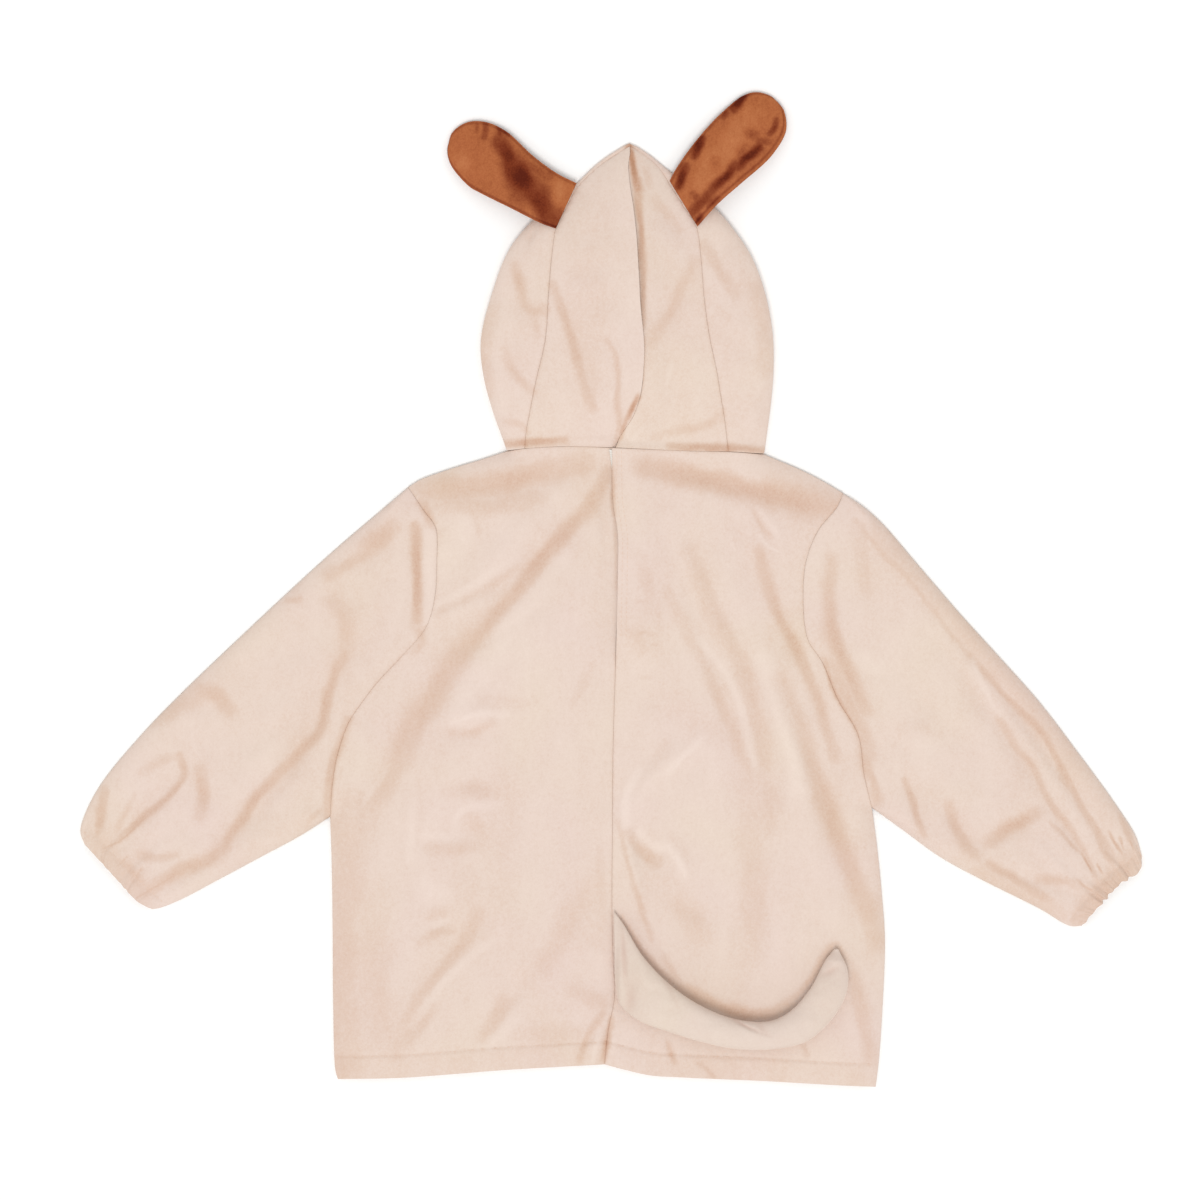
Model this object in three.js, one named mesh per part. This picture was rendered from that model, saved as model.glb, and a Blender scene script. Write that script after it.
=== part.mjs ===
import * as THREE from 'three';

// Child's hooded costume top with ears and a tail, laid flat with its back up.
// Millimetres. Z = 0 is the surface that it lies on, and +Y runs towards the hood.

const WALL = 1.4;
const SEAM = 0.35;
const TAPE_WALL = 0.8;
const UPPER_LAYER_LOW = 2 * WALL + SEAM;
const SLEEVE_EDGE_HEIGHT = 1.6;
const LAP_RAISE = 3.4;

const SEGMENTS = {
  neck: 10, shoulder: 8, armhole: 20, side: 12, sleeveUnder: 8, cuff: 40, cuffUnder: 16,
  hoodRows: 20, hoodAcross: 8, earAcross: 10, tailAcross: 8,
};

// x, y of the seams and edges of the body
const NECK_LEFT = [[0, 113.6], [-17.6, 114.4], [-41.6, 114.6], [-69.8, 113], [-84, 111.2]];
const NECK_RIGHT = [[0, 113.6], [38.4, 112], [70.4, 110.9], [93.1, 110.4], [121.6, 108.6]];
const SHOULDER_LEFT = [[-84, 111.2], [-106, 104], [-122, 99.2], [-138, 94], [-154, 88], [-163, 82.4]];
const SHOULDER_RIGHT = [[121.6, 108.6], [134.4, 103.2], [150.4, 96.4], [166.4, 88.4], [184.8, 77.6]];
const ARMHOLE_LEFT = [
  [-163, 82.4], [-150, 63], [-141, 50], [-140, 24], [-142, -8], [-149, -30], [-169, -54],
  [-186, -72], [-200, -90], [-211, -107], [-220, -134], [-224, -160], [-225.6, -181.6],
];
const ARMHOLE_RIGHT = [
  [184.8, 77.6], [180.4, 67], [165, 48], [155.4, 24], [152.8, -8], [156.8, -40], [168, -57.6],
  [180.8, -88], [196.8, -116], [201.6, -148], [208, -174.4],
];
const SIDE_LEFT = [
  [-225.6, -181.6], [-224.4, -216], [-223.6, -270], [-223.2, -328], [-221.4, -384], [-219.4, -391.4],
];
const SIDE_RIGHT = [
  [208, -174.4], [212, -204], [216, -244], [218.4, -280], [216.8, -328], [213.6, -376], [211, -397.6],
];
const HEM_LEFT = [[-6, -379.6], [-49.6, -382], [-89.6, -384.4], [-129.6, -387.6], [-169.6, -390.4], [-219.4, -391.4]];
const HEM_RIGHT = [
  [-6, -379.6], [10.4, -384], [30.4, -388.4], [54.4, -390], [118.4, -392.8], [182.4, -396.4], [211, -397.6],
];
const CENTRE_BACK = [
  [0, 113.6], [0.8, 72], [4.6, 44], [4.6, 16], [3.2, -48], [1, -120], [0.4, -190], [0, -250],
  [1, -295], [2, -326], [-3, -352], [-6, -379.6],
];
const NECK_LAP = { width: 12, from: -6, to: -32, fadeTo: -74, spread: 34 };

// x, y of the sleeves' edges, from the shoulder, along the cuff and from the underarm
const SLEEVES = {
  left: {
    armhole: ARMHOLE_LEFT,
    outward: -1,
    upper: [
      [-163, 82.4], [-185.6, 63.2], [-217.6, 36], [-249.6, 7.2], [-313.6, -52.8], [-345.6, -83.6],
      [-377.6, -116.8], [-409.6, -156], [-423.2, -182.4], [-425.6, -194], [-422.4, -203.2],
    ],
    cuff: [[-422.4, -203.2], [-409.6, -216.8], [-393.6, -234.4], [-379.2, -249.6], [-368, -255.6]],
    lower: [
      [-225.6, -181.6], [-249.6, -196.8], [-281.6, -214], [-313.6, -231.2], [-345.6, -248],
      [-361.6, -254.4], [-368, -255.6],
    ],
    crown: 9,
    gathers: { count: 10, height: 1.1, reach: 0.16, shift: 0.6 },
  },
  right: {
    armhole: ARMHOLE_RIGHT,
    outward: 1,
    upper: [
      [184.8, 77.6], [198.4, 68.8], [214.4, 55.2], [246.4, 18.4], [278.4, -18.8], [310.4, -54],
      [342.4, -90], [374.4, -132], [402.4, -170.4], [419.2, -196.8], [424, -212],
    ],
    cuff: [[424, -212], [422.4, -224], [406.4, -235.2], [390.4, -252], [376, -268.8]],
    lower: [
      [208, -174.4], [230.4, -190.4], [262.4, -213.6], [294.4, -231.2], [342.4, -255.2],
      [366.4, -268.8], [376, -268.8],
    ],
    crown: 10,
    gathers: { count: 13, height: 1.7, reach: 0.2, shift: 1.3 },
  },
};
const SLEEVE_ROWS = [
  0, 0.03, 0.07, 0.12, 0.18, 0.25, 0.32, 0.39, 0.46, 0.53, 0.6, 0.67, 0.74, 0.8, 0.85,
  0.89, 0.925, 0.95, 0.97, 0.985, 1,
];
const CUFF_FROM = 0.88;

// One row for each station from the peak to the neck: the seam beside the centre panel with
// its height, the hood's outline and the edge of the face opening underneath.
const HOOD_LEFT = [
  { seam: [9.6, 352.6], height: 5, outline: [9, 355.4], face: [13.6, 328] },
  { seam: [-9.2, 340], height: 5, outline: [-11, 342], face: [-4.8, 315.2] },
  { seam: [-27.2, 322.6], height: 7, outline: [-29.4, 324.4], face: [-17.6, 300.8] },
  { seam: [-36.8, 305.6], height: 11, outline: [-47, 309], face: [-25.6, 283.2] },
  { seam: [-44.8, 288.8], height: 14, outline: [-64.8, 294.4], face: [-31.2, 262.4] },
  { seam: [-47.6, 271.2], height: 17, outline: [-82.4, 272], face: [-35.2, 240] },
  { seam: [-50.4, 240], height: 19, outline: [-95.2, 240], face: [-37.6, 216] },
  { seam: [-53.2, 200], height: 19.5, outline: [-104.9, 200], face: [-36.8, 188] },
  { seam: [-60.1, 169.6], height: 18, outline: [-102.8, 171.2], face: [-29.6, 157] },
  { seam: [-65.7, 142.4], height: 15, outline: [-95.2, 142.4], face: [-15.2, 126] },
  { seam: [-68.8, 125.6], height: 11, outline: [-89.2, 125.6], face: [-4.8, 102.4] },
  { seam: [-69.8, 113.5], height: 8, outline: [-84.2, 112], face: [6, 81.6] },
];
const HOOD_RIGHT = [
  { seam: [19.4, 352.6], height: 5, outline: [20.4, 354.8], face: [19.2, 328] },
  { seam: [29.6, 345.4], height: 5, outline: [31.6, 347.2], face: [32, 318.4] },
  { seam: [38.8, 336], height: 6, outline: [43.2, 337.6], face: [41.6, 304] },
  { seam: [45.6, 325.6], height: 8, outline: [55, 328.6], face: [48, 289.6] },
  { seam: [56.8, 307.4], height: 12, outline: [72, 314], face: [54.4, 272] },
  { seam: [67.2, 290.4], height: 15, outline: [85.6, 302.4], face: [57.6, 252.8] },
  { seam: [71.2, 262.4], height: 18, outline: [110.4, 268.8], face: [60, 232] },
  { seam: [73.2, 236], height: 19.5, outline: [122.4, 237.6], face: [61.6, 212] },
  { seam: [77.6, 203.2], height: 19.5, outline: [128.6, 204], face: [60.8, 190.4] },
  { seam: [83.8, 173.6], height: 18, outline: [129.1, 173.6], face: [52.8, 160] },
  { seam: [87.2, 152.8], height: 15.5, outline: [127.4, 152], face: [41.6, 139.2] },
  { seam: [90, 136], height: 13, outline: [125.5, 136], face: [30.4, 120] },
  { seam: [93.1, 111], height: 8, outline: [121.8, 109.6], face: [11.2, 81.6] },
];
// x, y, height
const HOOD_CENTRE = [
  [14.4, 355, 6], [14.6, 345.6, 11], [16.3, 324.8, 17], [19.4, 304, 20], [21.7, 283.2, 22],
  [23, 262.4, 23.5], [24.2, 241.6, 24], [25, 221.2, 24], [25.8, 190.4, 24], [24.2, 164.8, 22.5],
  [22.2, 153.6, 21], [16.7, 138.4, 18], [7, 123.6, 13], [2.8, 114.1, 9],
];
const HOOD_CROWN = 1.6;
const HOOD_LAP = 1.3;
const PEAK_GAP = 0.5;

// x, y of each ear's two edges, from the root in the hood's seam to the tip
const EARS = {
  left: {
    upper: [
      [-28.3, 325.3], [-44, 333.2], [-62.6, 346.7], [-85.4, 367.5], [-102, 374.7], [-116.6, 374.1],
      [-128, 365.8], [-131.6, 355],
    ],
    lower: [
      [-45, 288.6], [-56.3, 292.6], [-83.4, 306.2], [-104, 316.6], [-114.4, 322.8], [-128, 338.4],
      [-131.4, 347], [-131.9, 351.5],
    ],
    rootHeights: [7, 14],
  },
  right: {
    upper: [
      [46, 327], [51.6, 337.4], [67.2, 359.2], [86.9, 381], [105.6, 396], [116, 398.4],
      [127, 395.4], [131.6, 391.6],
    ],
    lower: [
      [68.2, 290.1], [84.8, 308.4], [103.5, 325], [126.4, 345.7], [138.4, 364.4], [139.6, 373.8],
      [137.4, 384], [134.4, 388.4],
    ],
    rootHeights: [8, 15],
  },
};
// share of the ear's length, height of its middle above the floor, thickness
const EAR_SECTIONS = [
  [0, 1, 3], [0.12, 1.06, 5], [0.3, 1, 6.4], [0.5, 0.8, 7], [0.7, 0.52, 7], [0.88, 0.36, 6.4], [1, 0.28, 4],
];

// x, y of the tail's two edges, from the seam to the tip
const TAIL_UPPER = [
  [1.6, -256.8], [8.8, -266.4], [24.4, -292], [45.6, -314.4], [71.2, -332], [97.6, -342.4],
  [124.4, -344.4], [141.6, -336.8], [158.4, -318], [170.8, -295.2], [177.6, -287],
];
const TAIL_LOWER = [
  [2.4, -311], [6.4, -331], [21.6, -344], [43.2, -352], [71.2, -360.8], [100, -366.4],
  [128.8, -366.4], [154.4, -360.8], [174.4, -344], [186.4, -324], [188.4, -304.8], [181, -287],
];
// share of the tail's length, height of its section
const TAIL_SECTIONS = [[0, 7], [0.08, 13], [0.2, 20], [0.4, 23], [0.65, 22], [0.85, 19], [0.95, 13], [1, 6]];
const TAIL_ROWS = 26;

// Folds: three points along each, its height and its half width
const BODY_FOLDS = [
  { name: 'long valley from the neck', path: [[-4, 90], [-98, -18], [-160, -104]], height: -2.6, width: 15 },
  { name: 'end of that valley', path: [[-158, -100], [-180, -146], [-196, -200]], height: -1.6, width: 14 },
  { name: 'ridge above the valley', path: [[-44, 72], [-92, 22], [-134, -22]], height: 2.4, width: 13 },
  { name: 'ridge below the valley', path: [[-12, 26], [-58, -40], [-146, -160]], height: 1.8, width: 20 },
  { name: 'left shoulder', path: [[-156, 76], [-90, 82], [-12, 101]], height: -2.2, width: 11 },
  { name: 'right shoulder', path: [[22, 102], [102, 82], [176, 60]], height: -2.4, width: 10 },
  { name: 'inner arc', path: [[54, 24], [86, -72], [106, -152]], height: -1.7, width: 9 },
  { name: 'middle arc', path: [[62, 40], [114, -72], [134, -200]], height: -2, width: 9 },
  { name: 'outer arc', path: [[114, 24], [156, -62], [178, -136]], height: -1.6, width: 9 },
  { name: 'ridge between the arcs', path: [[82, 24], [140, -120], [170, -264]], height: 2.2, width: 13 },
  { name: 'right side valley', path: [[138, -80], [182, -196], [206, -312]], height: -2.4, width: 11 },
  { name: 'ridge to the seam', path: [[70, -124], [36, -146], [8, -192]], height: 2.4, width: 9 },
  { name: 'pocket under it', path: [[15, -196], [28, -210], [44, -217]], height: -2, width: 9 },
  { name: 'ridge beside the tail', path: [[8, -184], [14, -216], [18, -246]], height: 1.6, width: 7 },
  { name: 'left light ridge', path: [[-134, -103], [-110, -101], [-88, -103]], height: 1.4, width: 9 },
  { name: 'left hollow', path: [[-142, -200], [-126, -194], [-100, -198]], height: -1.2, width: 12 },
  { name: 'lower left slant', path: [[-104, -266], [-142, -300], [-160, -330]], height: -1.5, width: 10 },
  { name: 'lower middle slant', path: [[-58, -294], [-88, -334], [-106, -354]], height: -1.4, width: 9 },
  { name: 'from the tail to the hem', path: [[-3, -338], [-12, -356], [-19, -376]], height: 1.4, width: 6 },
];
const SLEEVE_FOLDS = [
  { name: 'left crease from the underarm', path: [[-213, -44], [-262, -146], [-328, -219]], height: -3, width: 10 },
  { name: 'left crease to the cuff', path: [[-320, -214], [-346, -230], [-378, -245]], height: -2, width: 8 },
  { name: 'left ridge beside the crease', path: [[-236, -46], [-282, -136], [-340, -196]], height: 1.8, width: 15 },
  { name: 'left sleeve head', path: [[-157, 52], [-155, 12], [-157, -28]], height: -2, width: 7 },
  { name: 'left cuff crease', path: [[-342, -140], [-374, -176], [-402, -204]], height: -2, width: 8 },
  { name: 'left upper hollow', path: [[-214, 12], [-192, 30], [-170, 48]], height: -1.5, width: 10 },
  { name: 'right long crease', path: [[246, 0], [324, -98], [400, -208]], height: -3, width: 8 },
  { name: 'right second crease', path: [[262, -40], [322, -124], [384, -214]], height: -2.2, width: 9 },
  { name: 'right ridge between', path: [[254, -18], [326, -112], [392, -212]], height: 1.6, width: 8 },
  { name: 'right small crease', path: [[234, -144], [242, -168], [250, -192]], height: -2, width: 8 },
  { name: 'right elbow crease', path: [[262, -168], [280, -192], [300, -212]], height: -2, width: 8 },
  { name: 'right elbow crescent', path: [[298, -198], [320, -190], [338, -174]], height: -2.4, width: 9 },
  { name: 'right lower crease', path: [[286, -216], [330, -230], [378, -245]], height: -1.5, width: 7 },
  { name: 'right sleeve head', path: [[174, 24], [176, -50], [204, -146]], height: -2, width: 10 },
];
const HOOD_FOLDS = [
  { name: 'left diagonal', path: [[-47, 248], [-27, 200], [-11, 144]], height: -2, width: 9 },
  { name: 'right diagonal', path: [[66, 258], [44, 218], [31, 192]], height: -1.6, width: 9 },
  { name: 'below the right ear', path: [[38, 308], [50, 292], [62, 280]], height: -1.4, width: 8 },
  { name: 'left side hollow', path: [[-78, 258], [-74, 236], [-62, 216]], height: -1.8, width: 9 },
];
const FOLD_STEPS = 20;

const material = (color, roughness) => new THREE.MeshStandardMaterial({ color, roughness, metalness: 0 });
const cream = material(0xe9d3c6, 0.9);
const paleCream = material(0xe6d9cf, 0.9);
const brown = material(0xae683f, 0.85);
const tapeWhite = material(0xf0ead8, 0.7);

const clamp = THREE.MathUtils.clamp;
const smooth = THREE.MathUtils.smoothstep;
const lerp = THREE.MathUtils.lerp;
const vector = ([x, y, z = 0]) => new THREE.Vector3(x, y, z);
const curveThrough = (rows) => new THREE.CatmullRomCurve3(rows.map(vector), false, 'centripetal');
const spaced = (rows, count) => curveThrough(rows).getSpacedPoints(count);
const moved = (points, x, y = 0) => points.map((p) => new THREE.Vector3(p.x + x, p.y + y, p.z));

const armholes = {
  left: spaced(ARMHOLE_LEFT, SEGMENTS.armhole),
  right: spaced(ARMHOLE_RIGHT, SEGMENTS.armhole),
};
const sides = {
  left: spaced(SIDE_LEFT, SEGMENTS.side),
  right: spaced(SIDE_RIGHT, SEGMENTS.side),
};
const rolledEdges = [SHOULDER_LEFT, SHOULDER_RIGHT, SIDE_LEFT, SIDE_RIGHT].map((rows) => spaced(rows, 40));
const hems = [HEM_LEFT, HEM_RIGHT].map((rows) => spaced(rows, 30));
const necks = [NECK_LEFT, NECK_RIGHT].map((rows) => spaced(rows, 20));
const centreBack = curveThrough(CENTRE_BACK).getSpacedPoints(120);

function distanceTo(lines, x, y) {
  let best = Infinity;
  for (const line of lines) {
    for (let i = 1; i < line.length; i += 1) {
      const a = line[i - 1];
      const b = line[i];
      const length2 = (b.x - a.x) ** 2 + (b.y - a.y) ** 2;
      const t = clamp(((x - a.x) * (b.x - a.x) + (y - a.y) * (b.y - a.y)) / length2, 0, 1);
      best = Math.min(best, Math.hypot(x - lerp(a.x, b.x, t), y - lerp(a.y, b.y, t)));
    }
  }
  return best;
}

// A fold is deepest along its middle and dies away at both ends and to both sides.
function preparedFolds(folds) {
  return folds.map((fold) => ({ ...fold, points: spaced(fold.path, FOLD_STEPS) }));
}
const bodyFolds = preparedFolds(BODY_FOLDS);
const sleeveFolds = preparedFolds(SLEEVE_FOLDS);
const hoodFolds = preparedFolds(HOOD_FOLDS);

function foldHeight(folds, x, y) {
  let sum = 0;
  for (const fold of folds) {
    let nearest = 0;
    let best = Infinity;
    fold.points.forEach((p, i) => {
      const d = Math.hypot(x - p.x, y - p.y);
      if (d < best) {
        best = d;
        nearest = i;
      }
    });
    const ends = 0.3 + 0.7 * Math.sin((Math.PI * nearest) / FOLD_STEPS);
    sum += fold.height * ends * Math.exp(-((best / fold.width) ** 2));
  }
  return sum;
}

const BODY = { rise: 5.4, roll: 9, settle: 2, settleOver: 55, hem: 22, neckRise: 2.6, neckOver: 20 };

function bodyHeight(x, y) {
  const edge = distanceTo(rolledEdges, x, y);
  const roll = 1 - Math.exp(-edge / BODY.roll);
  const settle = BODY.settle * (1 - Math.exp(-Math.max(0, edge - 25) / BODY.settleOver));
  const hem = 0.3 + 0.7 * (1 - Math.exp(-distanceTo(hems, x, y) / BODY.hem));
  const neck = BODY.neckRise * Math.exp(-distanceTo(necks, x, y) / BODY.neckOver);
  const loft = (BODY.rise * roll - settle) * hem + (neck + foldHeight(bodyFolds, x, y)) * roll;
  return Math.max(UPPER_LAYER_LOW, UPPER_LAYER_LOW + loft);
}

function centreX(y) {
  const index = centreBack.findIndex((p) => p.y <= y);
  if (index <= 0) {
    return y > 0 ? centreBack[0].x : centreBack.at(-1).x;
  }
  const a = centreBack[index - 1];
  const b = centreBack[index];
  return lerp(a.x, b.x, (y - a.y) / (b.y - a.y));
}

// The right half laps over the left one at the neck opening.
function rightHeight(x, y) {
  const along = smooth(y, NECK_LAP.fadeTo, NECK_LAP.to);
  const across = 1 - smooth(x - centreX(y), NECK_LAP.width + 2, NECK_LAP.width + NECK_LAP.spread);
  return bodyHeight(x, y) + LAP_RAISE * along * across;
}

// Grids: rows of points between four edges. top and bottom run across, left and right down.
function patch(top, bottom, left, right) {
  const across = top.length - 1;
  const down = left.length - 1;
  return left.map((leftPoint, j) => top.map((topPoint, i) => {
    const a = i / across;
    const b = j / down;
    const point = new THREE.Vector3();
    point.addScaledVector(topPoint, 1 - b).addScaledVector(bottom[i], b);
    point.addScaledVector(leftPoint, 1 - a).addScaledVector(right[j], a);
    point.addScaledVector(top[0], -(1 - a) * (1 - b)).addScaledVector(top[across], -a * (1 - b));
    point.addScaledVector(bottom[0], -(1 - a) * b).addScaledVector(bottom[across], -a * b);
    return point;
  }));
}

function raised(grid, heightAt) {
  return grid.map((row) => row.map((p) => new THREE.Vector3(p.x, p.y, heightAt(p.x, p.y, p.z))));
}

// One closed mesh, its faces turned outwards
function solid(points, triangles) {
  let volume = 0;
  for (const [a, b, c] of triangles) {
    volume += points[a].dot(new THREE.Vector3().crossVectors(points[b], points[c]));
  }
  const ordered = volume < 0 ? triangles.map(([a, b, c]) => [a, c, b]) : triangles;
  const geometry = new THREE.BufferGeometry();
  geometry.setAttribute('position', new THREE.Float32BufferAttribute(points.flatMap((p) => p.toArray()), 3));
  geometry.setIndex(ordered.flat());
  geometry.computeVertexNormals();
  return geometry;
}

// Normals of a grid. On its two long edges they don't lean over the seam.
function gridNormals(grid) {
  const down = grid.length - 1;
  const across = grid[0].length - 1;
  const normals = grid.map((row, j) => row.map((point, i) => {
    const alongRow = new THREE.Vector3().subVectors(row[Math.min(i + 1, across)], row[Math.max(i - 1, 0)]);
    const alongColumn = new THREE.Vector3()
      .subVectors(grid[Math.min(j + 1, down)][i], grid[Math.max(j - 1, 0)][i]);
    const normal = alongRow.cross(alongColumn);
    if (i === 0 || i === across) {
      const awayFromEdge = new THREE.Vector3(alongColumn.y, -alongColumn.x, 0).normalize();
      normal.addScaledVector(awayFromEdge, -normal.dot(awayFromEdge));
    }
    return normal.normalize();
  }));
  const facing = Math.sign(normals[Math.floor(down / 2)][0].z);
  return normals.map((row) => row.map((normal) => normal.multiplyScalar(facing)));
}

// A cloth wall whose outer face is the grid
function clothWall(grid, thickness) {
  const normals = gridNormals(grid);
  const down = grid.length;
  const across = grid[0].length;
  const outer = grid.flat();
  const inner = grid.flatMap((row, j) => row.map((p, i) => p.clone().addScaledVector(normals[j][i], -thickness)));
  const count = outer.length;
  const triangles = [];
  const quad = (a, b, c, d) => triangles.push([a, b, c], [a, c, d]);
  for (let j = 0; j < down - 1; j += 1) {
    for (let i = 0; i < across - 1; i += 1) {
      const k = j * across + i;
      quad(k, k + 1, k + across + 1, k + across);
      quad(count + k, count + k + across, count + k + across + 1, count + k + 1);
    }
  }
  const rim = [];
  for (let i = 0; i < across - 1; i += 1) rim.push(i);
  for (let j = 0; j < down - 1; j += 1) rim.push(j * across + across - 1);
  for (let i = across - 1; i > 0; i -= 1) rim.push((down - 1) * across + i);
  for (let j = down - 1; j > 0; j -= 1) rim.push(j * across);
  rim.forEach((a, k) => {
    const b = rim[(k + 1) % rim.length];
    quad(b, a, count + a, count + b);
  });
  return solid([...outer, ...inner], triangles);
}

// Triangles between two rings whose points carry their share t of the way round
function zip(ringA, startA, ringB, startB) {
  const triangles = [];
  let a = 0;
  let b = 0;
  while (a < ringA.length || b < ringB.length) {
    const nextA = a < ringA.length ? (ringA[a + 1]?.t ?? 1) : Infinity;
    const nextB = b < ringB.length ? (ringB[b + 1]?.t ?? 1) : Infinity;
    const atA = startA + (a % ringA.length);
    const atB = startB + (b % ringB.length);
    if (nextA <= nextB) {
      a += 1;
      triangles.push([atA, startA + (a % ringA.length), atB]);
    } else {
      b += 1;
      triangles.push([atA, startB + (b % ringB.length), atB]);
    }
  }
  return triangles;
}

function joinedRings(rings, start) {
  const triangles = [];
  const starts = [];
  let next = start;
  for (const ring of rings) {
    starts.push(next);
    next += ring.length;
  }
  for (let k = 1; k < rings.length; k += 1) {
    triangles.push(...zip(rings[k - 1], starts[k - 1], rings[k], starts[k]));
  }
  return { triangles, starts, next };
}

const flipped = (triangles) => triangles.map(([a, b, c]) => [a, c, b]);

// A tube of cloth: an outer and an inner skin, joined at both open ends
function clothTube(outerRings, innerRings) {
  const outer = joinedRings(outerRings, 0);
  const inner = joinedRings(innerRings, outer.next);
  const last = outerRings.length - 1;
  const triangles = [
    ...outer.triangles,
    ...flipped(inner.triangles),
    ...flipped(zip(outerRings[0], outer.starts[0], innerRings[0], inner.starts[0])),
    ...zip(outerRings[last], outer.starts[last], innerRings[last], inner.starts[last]),
  ];
  return solid([...outerRings, ...innerRings].flat().map((r) => r.point), triangles);
}

// A stuffed form: rings closed by a fan at each end
function stuffed(rings) {
  const body = joinedRings(rings, 0);
  const points = rings.flat().map((r) => r.point);
  const triangles = [...body.triangles];
  [[0, true], [rings.length - 1, false]].forEach(([k, first]) => {
    const ring = rings[k];
    const middle = new THREE.Vector3();
    ring.forEach((r) => middle.addScaledVector(r.point, 1 / ring.length));
    points.push(middle);
    ring.forEach((_, i) => {
      const a = body.starts[k] + i;
      const b = body.starts[k] + ((i + 1) % ring.length);
      triangles.push(first ? [points.length - 1, b, a] : [points.length - 1, a, b]);
    });
  });
  return solid(points, triangles);
}

// Back halves: from the centre back out to the armhole and side
function backPanel(name, sideName) {
  const isRight = sideName === 'right';
  const gap = isRight ? SEAM / 2 : -SEAM / 2;
  const outerEdge = [...armholes[sideName], ...sides[sideName].slice(1)];
  const centre = spaced(CENTRE_BACK, outerEdge.length - 1).map((p) => {
    const lap = isRight ? 0 : NECK_LAP.width * smooth(p.y, NECK_LAP.to, NECK_LAP.from);
    return new THREE.Vector3(p.x + gap + lap, p.y - 0.06 * lap, 0);
  });
  const neckRows = isRight ? NECK_RIGHT : [[centre[0].x, centre[0].y], ...NECK_LEFT.slice(1)];
  const shoulderRows = isRight ? SHOULDER_RIGHT : SHOULDER_LEFT;
  const neck = spaced(neckRows, SEGMENTS.neck);
  const top = [...neck, ...spaced(shoulderRows, SEGMENTS.shoulder).slice(1)];
  top[0] = centre[0];
  const bottom = spaced(isRight ? HEM_RIGHT : HEM_LEFT, top.length - 1);
  bottom[0] = centre.at(-1);
  const grid = patch(top, bottom, centre, outerEdge);
  return named(name, clothWall(raised(grid, isRight ? rightHeight : bodyHeight), WALL), cream);
}

// The front in one piece, flat on the floor under the back halves
function frontBody() {
  const drop = 0.5;
  const neckline = [
    HOOD_LEFT.at(-1).outline, HOOD_LEFT.at(-1).face, HOOD_RIGHT.at(-1).face, HOOD_RIGHT.at(-1).outline,
  ];
  const outline = [
    ...neckline.map(([x, y]) => [x, y - drop]),
    ...spaced(SHOULDER_RIGHT, SEGMENTS.shoulder).slice(1, -1).map((p) => [p.x, p.y - drop]),
    ...armholes.right.map((p) => [p.x, p.y]),
    ...sides.right.slice(1).map((p) => [p.x, p.y]),
    ...spaced(HEM_RIGHT, 12).reverse().slice(1).map((p) => [p.x, p.y]),
    ...spaced(HEM_LEFT, 12).slice(1).map((p) => [p.x, p.y]),
    ...sides.left.slice(0, -1).reverse().map((p) => [p.x, p.y]),
    ...armholes.left.slice(0, -1).reverse().map((p) => [p.x, p.y]),
    ...spaced(SHOULDER_LEFT, SEGMENTS.shoulder).slice(1, -1).reverse().map((p) => [p.x, p.y - drop]),
  ];
  const shape = new THREE.Shape(outline.map(([x, y]) => new THREE.Vector2(x, y)));
  return named('front_body', new THREE.ExtrudeGeometry(shape, { depth: WALL, bevelEnabled: false }), cream);
}

// Hook tape on the left half, under the right half's edge
function closureTape() {
  const tape = {
    left: [[-2.2, 112.4], [0.4, 94], [2.8, 72], [6.6, 44], [6.8, 4]],
    right: [[9.4, 112], [10, 94], [11, 72], [14, 44], [14.2, 4]],
  };
  const rows = 12;
  const left = spaced(tape.left, rows);
  const right = spaced(tape.right, rows);
  const top = [left[0], right[0]];
  const bottom = [left.at(-1), right.at(-1)];
  const lift = 0.45 + TAPE_WALL;
  const grid = raised(patch(top, bottom, left, right), (x, y) => bodyHeight(x, y) + lift);
  return named('closure_tape', clothWall(grid, TAPE_WALL), tapeWhite);
}

// Height of the quarter-round edge, from 0 at the edge to 1 at its width
function roundEdge(distance, width) {
  const left = 1 - clamp(distance / width, 0, 1);
  return Math.sqrt(1 - left * left);
}

const SLEEVE = { blend: 0.16, edge: 16, edgeAtSeam: 1.5, floorEdge: 6, casing: 0.955, casingDip: 1.3 };

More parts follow.
